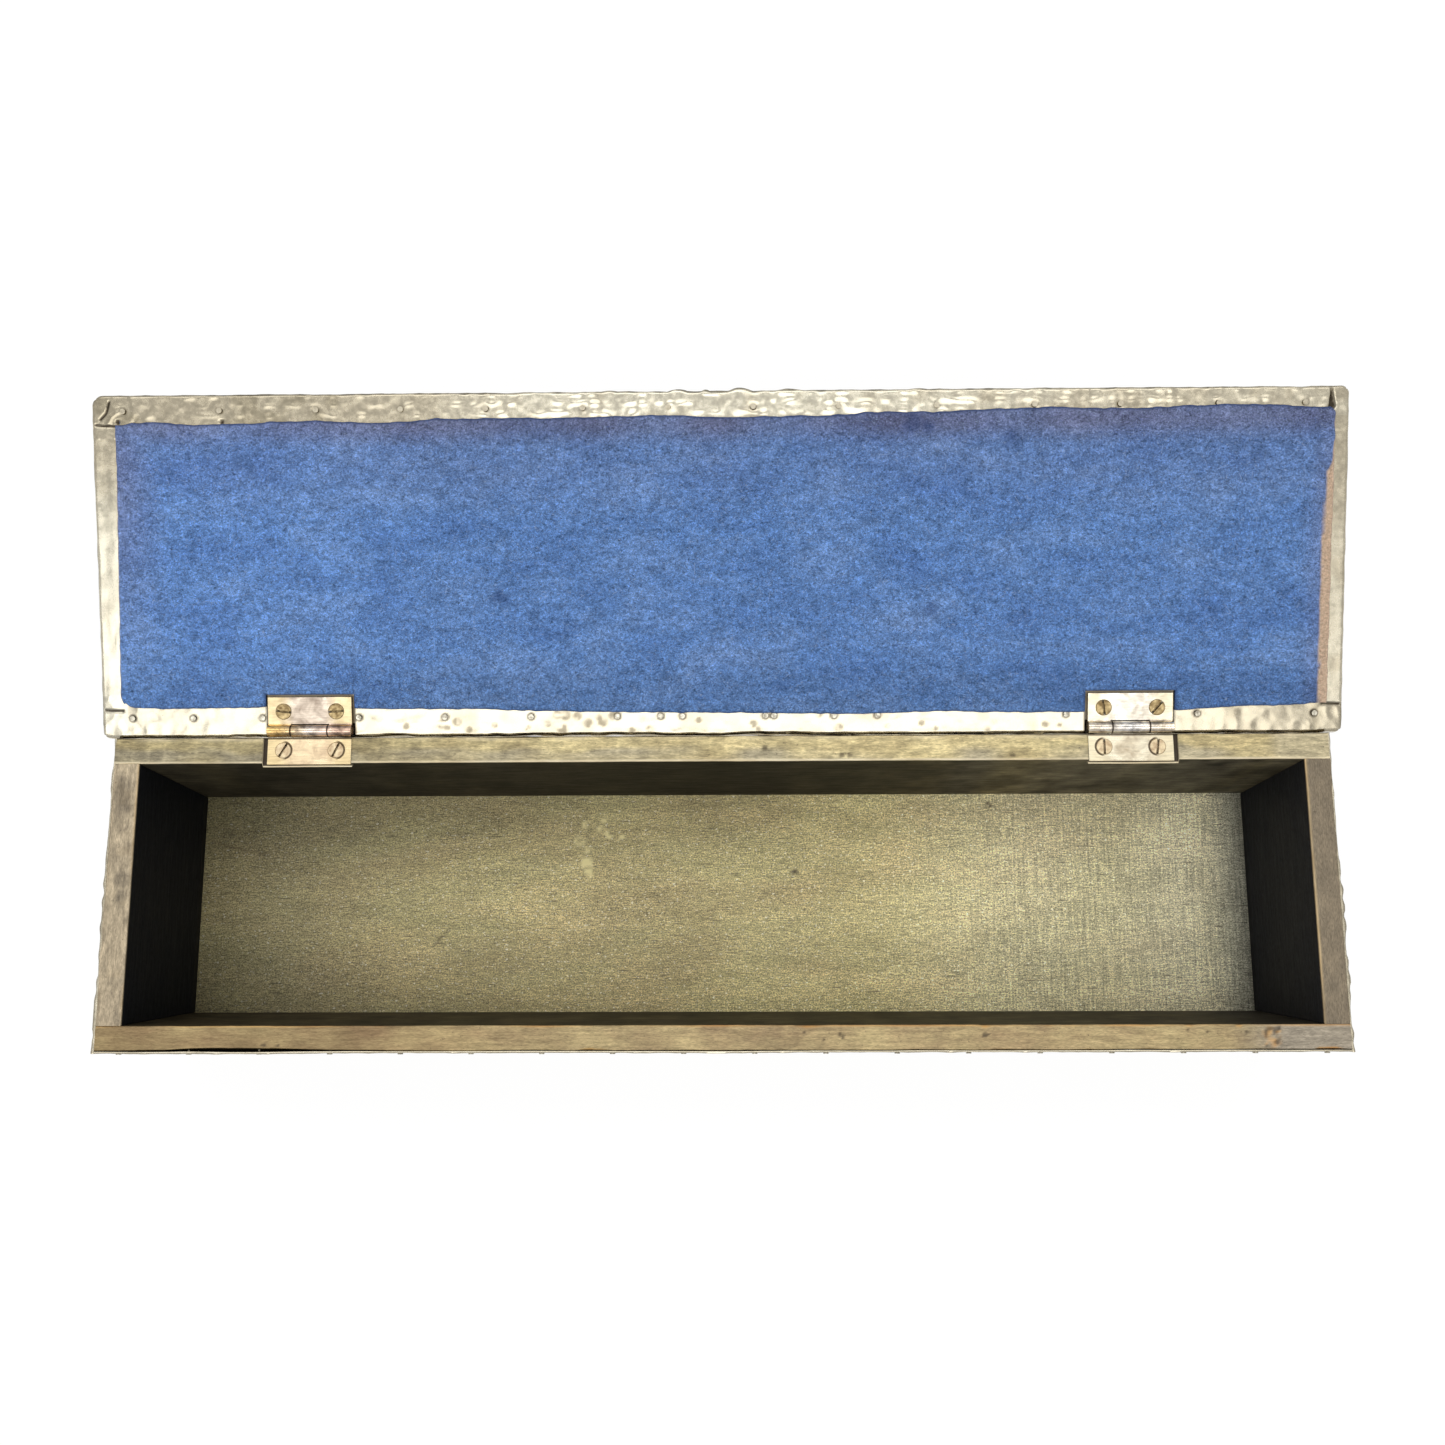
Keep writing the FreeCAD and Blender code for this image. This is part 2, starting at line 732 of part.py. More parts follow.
def make_felt():
    """Felt glued into the window and over the border, cut out round the hinge leaves."""
    body = new_body("lid_felt")
    outline = rectangle(
        size["felt_margin_left"] - lid_length / 2,
        lid_front + size["felt_margin_front"],
        lid_length / 2 - size["felt_margin_right"],
        lid_rear - size["felt_margin_rear"],
    )
    sketch = draw(body, "XY_Plane", "felt_outline", [outline])
    bind(sketch, "AttachmentOffset.Base.z", leaf_plane - size["felt_thickness"])
    pad(body, "felt_pad", sketch, size["felt_thickness"])
    plug = draw(body, "XY_Plane", "felt_plug_outline", [felt_window()])
    bind(plug, "AttachmentOffset.Base.z", leaf_plane)
    pad(body, "felt_plug", plug, sheet_thickness)
    cutout_width = size["hinge_width"] + 2 * size["felt_clearance"]
    cutout_reach = size["leaf_reach"] + size["felt_clearance"]
    cutouts = [
        centred(direction * hinge_x, cutout_width, -cutout_reach, lid_rear)
        for direction in SIDES.values()
    ]
    pocket(body, "felt_cutout", draw(body, "XY_Plane", "felt_cutouts", cutouts))
    open_with_lid(body)
    set_node("lid_felt", body)


# The hinges

def make_leaf(name, lid_side, bore_radius):
    """A hinge leaf: plate, knuckles and bore. lid_side is 1 for a lid leaf and -1 for a body leaf."""
    body = new_body(f"{name}_blank")
    width = size["hinge_width"]
    inner = lid_side * size["leaf_gap"] / 2
    plate = [
        (-size["leaf_reach"], inner),
        (0, inner),
        (0, lid_side * leaf_plane),
        (-size["leaf_reach"], lid_side * leaf_plane),
    ]
    pad(body, f"{name}_plate", draw(body, "YZ_Plane", f"{name}_section", [plate]), width, symmetric=True)
    knuckle = draw_circle(body, "YZ_Plane", f"{name}_knuckle_round", size["knuckle_radius"])
    pad(body, f"{name}_knuckle", knuckle, width, symmetric=True)

    # the other leaf's knuckles turn in these gaps
    gap_start = -(size["knuckle_radius"] + size["knuckle_clearance"])
    gap_end = size["knuckle_radius"] + cut_overrun
    middle_half = size["middle_knuckle_length"] / 2
    if lid_side > 0:
        middle_half = middle_half + size["knuckle_end_clearance"]
        gaps = [rectangle(-middle_half, gap_start, middle_half, gap_end)]
    else:
        outer = width / 2 + cut_overrun
        gaps = [
            rectangle(-outer, gap_start, -middle_half, gap_end),
            rectangle(middle_half, gap_start, outer, gap_end),
        ]
    pocket(body, f"{name}_gaps_cut", draw(body, "XY_Plane", f"{name}_gaps", gaps))
    pocket(body, f"{name}_bore", draw_circle(body, "YZ_Plane", f"{name}_bore_round", bore_radius))
    return body


def make_hinge(side):
    direction = SIDES[side]
    middle = direction * hinge_x

    body_leaf = make_leaf(f"{side}_hinge_body_leaf", -1, size["hinge_pin_radius"])
    shift(body_leaf, x=middle, y=axis_y, z=axis_z)
    doc.recompute()
    drilled(f"{side}_hinge_body_leaf", body_leaf, copies(screw_hole(), body_screw_placements(side)))

    lid_bore = size["hinge_pin_radius"] + size["pin_clearance"]
    lid_leaf = make_leaf(f"{side}_hinge_lid_leaf", 1, lid_bore)
    shift(lid_leaf, x=middle)
    doc.recompute()
    lid_piece = drilled(f"{side}_hinge_lid_leaf", lid_leaf, copies(screw_hole(), lid_screw_placements(side)))
    open_with_lid(lid_piece)

    pin = doc.addObject("Part::Cylinder", f"{side}_hinge_pin")
    bind(pin, "Radius", size["hinge_pin_radius"])
    bind(pin, "Height", size["hinge_width"])
    pin.Placement = FreeCAD.Placement(FreeCAD.Vector(), FreeCAD.Rotation(Z_DIRECTION, X_DIRECTION))
    shift(pin, x=middle - size["hinge_width"] / 2, y=axis_y, z=axis_z)
    set_node(f"{side}_hinge_pin", pin)


def make_screws(name, placements_of, slot_angles):
    """The four screws of the body leaves or of the lid leaves."""
    screws = []
    for side in SIDES:
        for place, angle in zip(placements_of(side), slot_angles[side]):
            slotted = slotted_screw(screw, f"{name}_{side}_{angle}", angle)
            screws += copies(slotted.Shape, [place])
    group = doc.addObject("Part::Feature", name)
    group.Shape = Part.makeCompound(screws)
    set_node(name, group)
    return group


def write_parts():
    """Check every object, then write each node's shape."""
    failed = [item.Name for item in doc.Objects if {"Invalid", "Error"} & set(item.State)]
    if failed:
        raise RuntimeError(f"failed: {failed}")
    for name, feature in nodes.items():
        if feature.Shape.isNull() or not feature.Shape.isValid():
            raise RuntimeError(f"{name} has no valid shape")
    os.makedirs("parts", exist_ok=True)
    for name, feature in nodes.items():
        feature.Shape.exportStep(os.path.join("parts", f"{name}.step"))


tack = make_tack()
nail = make_nail()
screw = make_screw()

make_floor()
make_front_wall()
make_back_wall()
for side in SIDES:
    make_end_wall(side)

make_long_cladding("front_cladding", -1, size["tack_drop"])
make_long_cladding("back_cladding", 1, size["back_tack_drop"])
for side in SIDES:
    make_end_cladding(side)

make_lid_board()
make_lid_cladding()
make_felt()

for side in SIDES:
    make_hinge(side)
make_screws("hinge_body_screws", body_screw_placements, BODY_SCREW_SLOT_ANGLES)
open_with_lid(make_screws("hinge_lid_screws", lid_screw_placements, LID_SCREW_SLOT_ANGLES))

fastener_group("corner_nails", nail, corner_nail_placements(-1) + corner_nail_placements(1))
floor_nail_places = [
    placement
    for end in SIDES.values()
    for placement in long_floor_nail_placements(end) + end_floor_nail_placements(end)
]
fastener_group("floor_nails", nail, floor_nail_places)

tack_top = wall_top - size["tack_drop"]
top_tack_places = long_tack_placements(-1, tack_top)
top_tack_places += long_tack_placements(1, wall_top - size["back_tack_drop"])
base_height = size["floor_thickness"] / 2
base_tack_places = []
for direction in SIDES.values():
    top_tack_places += end_tack_placements(direction, tack_top)
    base_tack_places += long_tack_placements(direction, base_height)
    base_tack_places += end_tack_placements(direction, base_height)
fastener_group("body_top_pins", tack, top_tack_places)
fastener_group("body_base_pins", tack, base_tack_places)
open_with_lid(fastener_group("lid_front_pins", tack, lid_front_tack_placements()))
open_with_lid(fastener_group("lid_rear_pins", tack, lid_rear_tack_placements()))

doc.recompute()
write_parts()
for name, feature in nodes.items():
    print(f"{name}: {len(feature.Shape.Solids)} solids, {feature.Shape.Volume:.1f} mm3")
print(f"hinge axis at y {axis_y.number:.3f}, z {axis_z.number:.3f}; wall top {wall_top.number:.3f}")
print(f"lid {lid_length.number:.2f} by {lid_rear.number - lid_front.number:.2f}")
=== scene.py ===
import json
import math

import bpy
import numpy as np
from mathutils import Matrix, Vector


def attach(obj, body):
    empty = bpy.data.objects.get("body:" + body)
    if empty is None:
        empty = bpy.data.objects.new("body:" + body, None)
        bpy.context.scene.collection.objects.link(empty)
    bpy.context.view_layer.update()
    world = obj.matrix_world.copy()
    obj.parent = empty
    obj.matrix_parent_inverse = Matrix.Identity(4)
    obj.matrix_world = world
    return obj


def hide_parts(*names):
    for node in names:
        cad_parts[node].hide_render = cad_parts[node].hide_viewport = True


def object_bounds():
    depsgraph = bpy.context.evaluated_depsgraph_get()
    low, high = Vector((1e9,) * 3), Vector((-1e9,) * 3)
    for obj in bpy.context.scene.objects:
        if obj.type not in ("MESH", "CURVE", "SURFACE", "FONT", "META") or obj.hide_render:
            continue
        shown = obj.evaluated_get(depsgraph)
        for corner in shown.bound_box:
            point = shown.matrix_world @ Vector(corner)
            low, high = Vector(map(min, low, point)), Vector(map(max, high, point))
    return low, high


# A long wooden box covered with hammered metal, its felt-lined lid thrown back.
# Shapes are worked out in millimetres in the row frame and turned into metres when they are added.

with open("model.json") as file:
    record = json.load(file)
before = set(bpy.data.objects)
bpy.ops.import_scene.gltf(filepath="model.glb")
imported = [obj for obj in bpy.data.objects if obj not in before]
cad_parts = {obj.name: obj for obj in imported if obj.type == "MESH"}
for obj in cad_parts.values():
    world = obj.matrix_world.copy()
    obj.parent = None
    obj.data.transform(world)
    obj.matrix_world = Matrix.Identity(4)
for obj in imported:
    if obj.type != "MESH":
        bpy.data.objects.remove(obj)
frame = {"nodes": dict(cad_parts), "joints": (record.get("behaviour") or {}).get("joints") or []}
cad_bounds = [list(corner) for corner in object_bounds()]

MM = 0.001
LATTICE = 512

hinge = frame["joints"][0]
AXIS = np.array(hinge["pos_m"]) / MM
OPEN_ANGLE = math.radians(hinge["range_deg"][1])
HINGE_SIDES = ("left", "right")


# Places read from the frame

def node_points(node):
    return np.array([vertex.co for vertex in frame["nodes"][node].data.vertices]) / MM


def bounds_of(points):
    return points.min(0), points.max(0)


def box_of(node):
    return bounds_of(node_points(node))


def turned(points, angle):
    """Points turned about the hinge axis."""
    y = points[:, 1] - AXIS[1]
    z = points[:, 2] - AXIS[2]
    cosine, sine = math.cos(angle), math.sin(angle)
    return np.stack([points[:, 0], AXIS[1] + cosine * y - sine * z, AXIS[2] + sine * y + cosine * z], 1)


def lid_opened(points):
    """From the closed lid's place to where the open lid rests."""
    return turned(points, -OPEN_ANGLE)


def closed_box_of(node):
    """A lid node's lowest and highest corners when the lid is shut."""
    return bounds_of(turned(node_points(node), OPEN_ANGLE))


LID_LOW, LID_HIGH = closed_box_of("lid_cladding")
FELT_LOW, FELT_HIGH = closed_box_of("lid_felt")
LEAVES = {side: closed_box_of(f"{side}_hinge_lid_leaf") for side in HINGE_SIDES}
HINGE_X = {side: (low[0] + high[0]) / 2 for side, (low, high) in LEAVES.items()}
HINGE_HALF = (LEAVES["left"][1][0] - LEAVES["left"][0][0]) / 2


# Random fields. Each is a fixed function of its seed.

def noise(u, v, cell, seed):
    """Smooth random values from -1 to 1, with features about one cell across."""
    values = np.random.default_rng(seed).uniform(-1, 1, (LATTICE, LATTICE))
    a, b = np.broadcast_arrays(np.asarray(u) / cell, np.asarray(v) / cell)
    i, j = np.floor(a).astype(int), np.floor(b).astype(int)
    p, q = a - i, b - j
    p, q = p * p * (3 - 2 * p), q * q * (3 - 2 * q)
    i, j, k, m = i % LATTICE, j % LATTICE, (i + 1) % LATTICE, (j + 1) % LATTICE
    near = values[i, j] * (1 - p) + values[k, j] * p
    far = values[i, m] * (1 - p) + values[k, m] * p
    return near * (1 - q) + far * q


def patchy(u, v, cell, seed, shift):
    """Noise shifted and cut off to 0 to 1, for marks that come in patches."""
    return np.clip(noise(u, v, cell, seed) + shift, 0, 1)


def hammer_marks(u, v, spacing, seed):
    """Overlapping round dents: 0 on the ridges between them, -1 in the deepest middles."""
    rng = np.random.default_rng(seed)
    jitter = rng.uniform(0, 1, (LATTICE, LATTICE, 2))
    widths = rng.uniform(0.6, 1.15, (LATTICE, LATTICE))
    a, b = u / spacing, v / spacing
    i, j = np.floor(a).astype(int), np.floor(b).astype(int)
    lowest = np.zeros_like(a)
    for step_i in (-1, 0, 1):
        for step_j in (-1, 0, 1):
            row, column = (i + step_i) % LATTICE, (j + step_j) % LATTICE
            offset_a = a - i - step_i - jitter[row, column, 0]
            offset_b = b - j - step_j - jitter[row, column, 1]
            width = widths[row, column]
            dent = ((offset_a ** 2 + offset_b ** 2) / width ** 2 - 1) * width / 1.15
            lowest = np.minimum(lowest, dent)
    return lowest


def spots(u, v, places, blur=0.5):
    """How far points lie inside given round spots, each (u, v, radius): 1 inside, 0 outside."""
    share = np.zeros(np.broadcast(u, v).shape)
    for spot_u, spot_v, radius in places:
        reach = np.hypot(u - spot_u, v - spot_v)
        share = np.maximum(share, np.clip((radius - reach) / (blur * radius) + 1, 0, 1))
    return share


def ease(values, start, end):
    """A smooth step from 0 at start to 1 at end."""
    share = np.clip((values - start) / (end - start), 0, 1)
    return share * share * (3 - 2 * share)


def segment_reach(u, v, start, end):
    """Distance of points from a straight stretch, and how far along it they lie."""
    du, dv = end[0] - start[0], end[1] - start[1]
    share = np.clip(((u - start[0]) * du + (v - start[1]) * dv) / (du * du + dv * dv), 0, 1)
    return np.hypot(u - start[0] - share * du, v - start[1] - share * dv), share


def creases(u, v, paths, width):
    """1 along given creases, each a list of places, fading to 0 at the width."""
    share = np.zeros_like(u)
    for path in paths:
        for start, end in zip(path, path[1:]):
            reach = segment_reach(u, v, start, end)[0]
            share = np.maximum(share, np.clip(1 - reach / width, 0, 1))
    return share


# Building meshes

def samples(low, high, step, fine=()):
    """Places from low to high about a step apart, with extra ones at fine distances from both ends."""
    count = max(2, int(round((high - low) / step)) + 1)
    middle = np.linspace(low, high, count)
    if not len(fine):
        return middle
    reach = max(fine)
    inside = middle[(middle > low + reach + step / 3) & (middle < high - reach - step / 3)]
    fine = np.array(sorted(fine))
    return np.concatenate([low + fine, inside, (high - fine)[::-1]])


def lattice_shell(xs, ys, zs):
    """The skin of a box-shaped lattice: its points, its quads and each point's place in the lattice."""
    counts = (len(xs), len(ys), len(zs))
    quads = []
    for axis in range(3):
        first_axis, second_axis = [other for other in range(3) if other != axis]
        ranges = [np.arange(counts[other]) for other in (first_axis, second_axis)]
        first, second = np.meshgrid(*ranges, indexing="ij")
        for side in (0, counts[axis] - 1):
            index = [None] * 3
            index[axis] = np.full_like(first, side)
            index[first_axis] = first
            index[second_axis] = second
            key = (index[0] * counts[1] + index[1]) * counts[2] + index[2]
            quad = np.stack([key[:-1, :-1], key[1:, :-1], key[1:, 1:], key[:-1, 1:]], -1).reshape(-1, 4)
            flipped = (side == 0) != (axis == 1)
            quads.append(quad[:, ::-1] if flipped else quad)
    used, faces = np.unique(np.concatenate(quads), return_inverse=True)
    i = used // (counts[1] * counts[2])
    j = used // counts[2] % counts[1]
    k = used % counts[2]
    points = np.stack([np.asarray(xs)[i], np.asarray(ys)[j], np.asarray(zs)[k]], 1)
    return points, faces.reshape(-1, 4)


def rounded(points, low, high, radius):
    """A box's skin with rounded edges, and the way each point faces."""
    core = np.clip(points, low + radius, high - radius)
    offset = points - core
    facing = offset / np.linalg.norm(offset, axis=1, keepdims=True)
    return core + facing * radius, facing


def round_corner(points, corner, inward, radius):
    """Bend a slab's square corner, seen from above, into an arc."""
    centre = np.asarray(corner) + np.asarray(inward) * radius
    offset = (points[:, :2] - centre) * -np.asarray(inward)
    inside = (offset > 1e-9).all(1)
    kept = offset[inside]
    shrink = kept.max(1) / np.hypot(kept[:, 0], kept[:, 1])
    points[inside, :2] = centre - kept * shrink[:, None] * np.asarray(inward)


def mesh_object(name, points, faces, material, attributes=None):
    mesh = bpy.data.meshes.new(name)
    mesh.from_pydata((points * MM).tolist(), [], faces.tolist())
    mesh.polygons.foreach_set("use_smooth", np.ones(len(mesh.polygons), bool))
    for key, values in (attributes or {}).items():
        layer = mesh.attributes.new(key, "FLOAT", "POINT")
        layer.data.foreach_set("value", np.asarray(values, np.float32))
    mesh.materials.append(material)
    mesh.update()
    piece = bpy.data.objects.new(name, mesh)
    bpy.context.scene.collection.objects.link(piece)
    return piece


def add_piece(name, shape, material, body, replaced=(), attributes=None):
    points, faces = shape
    piece = mesh_object(name, points, faces, material, attributes)
    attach(piece, body)
    if replaced:
        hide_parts(*replaced)
    return piece


def without_slivers(points, faces):
    """Drop the faces that a cut has flattened to nothing."""
    corners = points[faces]
    across = np.cross(corners[:, 2] - corners[:, 0], corners[:, 3] - corners[:, 1])
    return faces[np.linalg.norm(across, axis=1) > 1e-5]


# Materials

class Shader:
    """A material under construction: adds nodes and joins them up."""

    def __init__(self, name):
        self.material = bpy.data.materials.new(name)
        self.material.use_nodes = True
        self.tree = self.material.node_tree
        self.surface = self.tree.nodes["Principled BSDF"]
        self.place = self.add("ShaderNodeTexCoord").outputs["Object"]

    def add(self, kind, inputs=None, **settings):
        node = self.tree.nodes.new(kind)
        for key, value in settings.items():
            setattr(node, key, value)
        for key, value in (inputs or {}).items():
            self.feed(node.inputs[key], value)
        return node

    def feed(self, socket, value):
        if isinstance(value, bpy.types.NodeSocket):
            self.tree.links.new(value, socket)
        else:
            socket.default_value = value

    def set(self, **values):
        """Feed the surface's sockets, with underscores for spaces."""
        for key, value in values.items():
            self.feed(self.surface.inputs[key.replace("_", " ")], value)

    def attribute(self, name):
        return self.add("ShaderNodeAttribute", attribute_name=name).outputs["Fac"]

    def stretched(self, feature_mm):
        """Object coordinates scaled so that one unit is one feature, in millimetres along X, Y and Z."""
        scale = [1 / (size * MM) for size in feature_mm]
        return self.add("ShaderNodeMapping", {"Vector": self.place, "Scale": scale}).outputs["Vector"]

    def noise(self, feature_mm, detail=4.0, roughness=0.55, distortion=0.0):
        inputs = {
            "Vector": self.stretched(feature_mm), "Scale": 1.0, "Detail": detail,
            "Roughness": roughness, "Distortion": distortion,
        }
        return self.add("ShaderNodeTexNoise", inputs).outputs["Fac"]

    def ramp(self, factor, *stops):
        """Colours at places along a factor; each stop is (place, colour)."""
        node = self.add("ShaderNodeValToRGB", {"Fac": factor})
        elements = node.color_ramp.elements
        while len(elements) < len(stops):
            elements.new(0.5)
        for element, (place, colour) in zip(elements, stops):
            element.position = place
            element.color = (*colour, 1)
        return node.outputs["Color"]

    def fade(self, factor, start, end, low=0.0, high=1.0):
        inputs = {"Value": factor, "From Min": start, "From Max": end, "To Min": low, "To Max": high}
        return self.add("ShaderNodeMapRange", inputs, interpolation_type="SMOOTHSTEP").outputs["Result"]

    def mix(self, factor, first, second, blend="MIX"):
        node = self.add("ShaderNodeMix", data_type="RGBA", blend_type=blend)
        sockets = {socket.identifier: socket for socket in node.inputs}
        self.feed(sockets["Factor_Float"], factor)
        for key, colour in (("A_Color", first), ("B_Color", second)):
            if not isinstance(colour, bpy.types.NodeSocket):
                colour = (*colour, 1)
            self.feed(sockets[key], colour)
        return next(socket for socket in node.outputs if socket.identifier == "Result_Color")

    def shade(self, colour, factor, low, high, start=0.33, end=0.67):
        """A colour made darker or lighter along a factor, from low to high times itself."""
        level = self.add("ShaderNodeMapRange", {"Value": factor, "From Min": start, "From Max": end,
                                                "To Min": low, "To Max": high}).outputs["Result"]
        return self.mix(1.0, colour, level, "MULTIPLY")

    def shades(self, colour, *layers):
        """A colour shaded by several factors in turn, each (factor, low, high)."""
        for layer in layers:
            colour = self.shade(colour, *layer)
        return colour

    def math(self, operation, first, second=0.0):
        node = self.add("ShaderNodeMath", operation=operation)
        self.feed(node.inputs[0], first)
        self.feed(node.inputs[1], second)
        return node.outputs[0]

    def reach(self, first, second):
        """The length of a pair of offsets."""
        squares = [self.math("MULTIPLY", offset, offset) for offset in (first, second)]
        return self.math("SQRT", self.math("ADD", *squares))

    def crevice_shade(self, reach_mm):
        """1 deep in slots and corners, 0 in the open: ambient occlusion, for painting shade into colours."""
        node = self.add("ShaderNodeAmbientOcclusion", {"Distance": reach_mm * MM}, samples=6)
        return self.fade(node.outputs["AO"], 0.35, 0.85, 1.0, 0.0)

    def bump(self, height, depth_mm, strength=1.0, normal=None):
        inputs = {"Height": height, "Distance": depth_mm * MM, "Strength": strength}
        if normal is not None:
            inputs["Normal"] = normal
        return self.add("ShaderNodeBump", inputs).outputs["Normal"]


def wood_material(name, grain_axis, tan, raw, black, weathered, streaks, mottling):
    """Dark stained wood, rubbed back to tan where tone is high and to raw wood where bare is high.

    tan and raw are each a dark and a light colour; the wood turns plain weathered where weather is high.
    streaks and mottling say how strongly the grain and the stains show.
    """
    shader = Shader(name)
    long_grain = [0.7, 0.7, 0.7]
    long_grain[grain_axis] = 9
    long_stains = [2.0, 2.0, 2.0]
    long_stains[grain_axis] = 6
    fine_grain = [0.24, 0.24, 0.24]
    fine_grain[grain_axis] = 1.3
    grain = shader.noise(long_grain, detail=5, roughness=0.62, distortion=0.25)
    fibres = shader.noise(fine_grain, detail=3, roughness=0.65)
    patches = shader.noise((17, 9, 9), detail=4, roughness=0.6)
    blotches = shader.noise(long_stains, detail=5, roughness=0.68)
    pores = shader.noise((0.9, 0.9, 0.9), detail=3, roughness=0.7)
    colour = shader.ramp(patches, (0.3, tan[0]), (0.7, tan[1]))
    colour = shader.mix(shader.attribute("weather_and_sheen"), colour, weathered)
    colour = shader.shades(
        colour, (grain, 1 - streaks, 1 + streaks), (blotches, 1 - mottling, 1 + mottling), (fibres, 0.72, 1.28)
    )
    colour = shader.mix(shader.fade(pores, 0.38, 0.28, 0, 0.6), colour, (0.075, 0.055, 0.035))
    darkest = tuple(0.3 * channel for channel in black)
    palest = tuple(2 * channel for channel in black)
    stain = shader.ramp(fibres, (0.33, darkest), (0.67, palest))
    tone = shader.attribute("tone")
    colour = shader.mix(tone, stain, colour)
    raw_wood = shader.shade(shader.ramp(patches, (0.3, raw[0]), (0.7, raw[1])), grain, 0.80, 1.12)
    colour = shader.mix(shader.attribute("bare"), colour, raw_wood)
    # Marks darken knots and stains, and paint shade into the hinges' mortises.
    colour = shader.mix(shader.attribute("mark"), colour, (0.045, 0.030, 0.016))
    height = shader.math("ADD", shader.math("MULTIPLY", grain, 0.6), shader.math("MULTIPLY", fibres, 0.4))
    shader.set(
        Base_Color=colour,
        Roughness=shader.fade(grain, 0.3, 0.7, 0.66, 0.5),
        Specular_IOR_Level=shader.fade(tone, 0.05, 0.6, 0.08, 0.35),
        Normal=shader.bump(height, 0.10, 0.5),
    )
    return shader.material


def floor_material():
    """The planed floor: granular brown-olive wood, combed across by the planer towards the right."""
    shader = Shader("floor_wood")
    grains = shader.noise((0.50, 0.42, 0.5), detail=2, roughness=0.7)
    hairs = shader.noise((2.4, 0.34, 0.6), detail=3, roughness=0.6)
    streaks = shader.noise((30, 4.5, 8), detail=5, roughness=0.62)
    patches = shader.noise((26, 11, 20), detail=4, roughness=0.6)
    hues = shader.noise((40, 14, 20), detail=4, roughness=0.55)
    combing = shader.noise((0.75, 16, 8), detail=2, roughness=0.5)
    dashes = shader.noise((9, 0.5, 8), detail=2, roughness=0.5)
    pale = shader.noise((1.1, 0.8, 1.0), detail=2, roughness=0.6)
    colour = shader.ramp(hues, (0.38, (0.470, 0.383, 0.178)), (0.62, (0.455, 0.394, 0.181)))
    # Greying towards the right, which on the floor is a painted sheen.
    colour = shader.mix(shader.attribute("weather_and_sheen"), colour, (0.54, 0.53, 0.41))
    colour = shader.shades(colour, (patches, 0.88, 1.13), (streaks, 0.90, 1.10))
    colour = shader.mix(shader.attribute("comb"), colour, shader.shade(colour, combing, 0.74, 1.24))
    colour = shader.shades(colour, (hairs, 0.62, 1.36), (grains, 0.30, 1.70))
    colour = shader.mix(shader.fade(dashes, 0.36, 0.28, 0, 0.8), colour, (0.085, 0.066, 0.033))
    colour = shader.mix(shader.fade(pale, 0.63, 0.68, 0, 0.9), colour, (0.92, 0.87, 0.66))
    # The tone attribute brings painted light and shade as well as the floor's worn tone.
    colour = shader.mix(1.0, colour, shader.attribute("tone"), "MULTIPLY")
    colour = shader.mix(shader.attribute("bare"), colour, (0.84, 0.74, 0.36))
    colour = shader.mix(shader.attribute("mark"), colour, (0.060, 0.036, 0.014))
    height = shader.math("ADD", shader.math("MULTIPLY", grains, 0.6), shader.math("MULTIPLY", hairs, 0.5))
    shader.set(
        Base_Color=colour,
        Roughness=shader.fade(streaks, 0.3, 0.7, 0.60, 0.48),
        Specular_IOR_Level=0.5,
        Normal=shader.bump(height, 0.07, 0.7),
    )
    return shader.material


def pewter_material():
    """Soft grey-beige sheet metal, lighter where tone is high, from rubbing and painted reflection, and
    darkened by dirty patches and painted shade in its creases and dents.

    beat deepens the hammer marks, whose dents in the mesh are kept within the sheet's thickness.
    """
    shader = Shader("hammered_sheet")
    cloud = shader.noise((9, 9, 9), detail=4, roughness=0.6)
    mottle = shader.noise((2.2, 2.2, 2.2), detail=4, roughness=0.62)
    fine = shader.noise((0.5, 0.5, 0.5), detail=3)
    tone = shader.math("ADD", shader.attribute("tone"), shader.fade(cloud, 0.3, 0.7, -0.08, 0.08))
    colour = shader.ramp(
        tone,
        (0.0, (0.44, 0.385, 0.275)),
        (0.2, (0.52, 0.46, 0.34)),
        (0.5, (0.60, 0.535, 0.40)),
        (1.0, (0.74, 0.69, 0.55)),
    )
    colour = shader.shade(colour, mottle, 0.88, 1.08)
    grime_and_shade = shader.math("ADD", shader.attribute("grime_and_shade"), shader.fade(fine, 0.62, 0.8, 0, 0.15))
    # Ambient occlusion paints shade into the sheet's creases, round its pins and along the felt's edge.
    grime_and_shade = shader.math("MAXIMUM", grime_and_shade, shader.math("MULTIPLY", shader.crevice_shade(0.6), 0.75))
    colour = shader.mix(grime_and_shade, colour, (0.040, 0.029, 0.018))
    hammering = shader.bump(shader.attribute("beat"), 0.7)
    shader.set(
        Base_Color=colour,
        Metallic=1.0,
        Roughness=shader.fade(mottle, 0.3, 0.7, 0.16, 0.30),
        Normal=shader.bump(mottle, 0.04, 0.4, hammering),
    )
    return shader.material


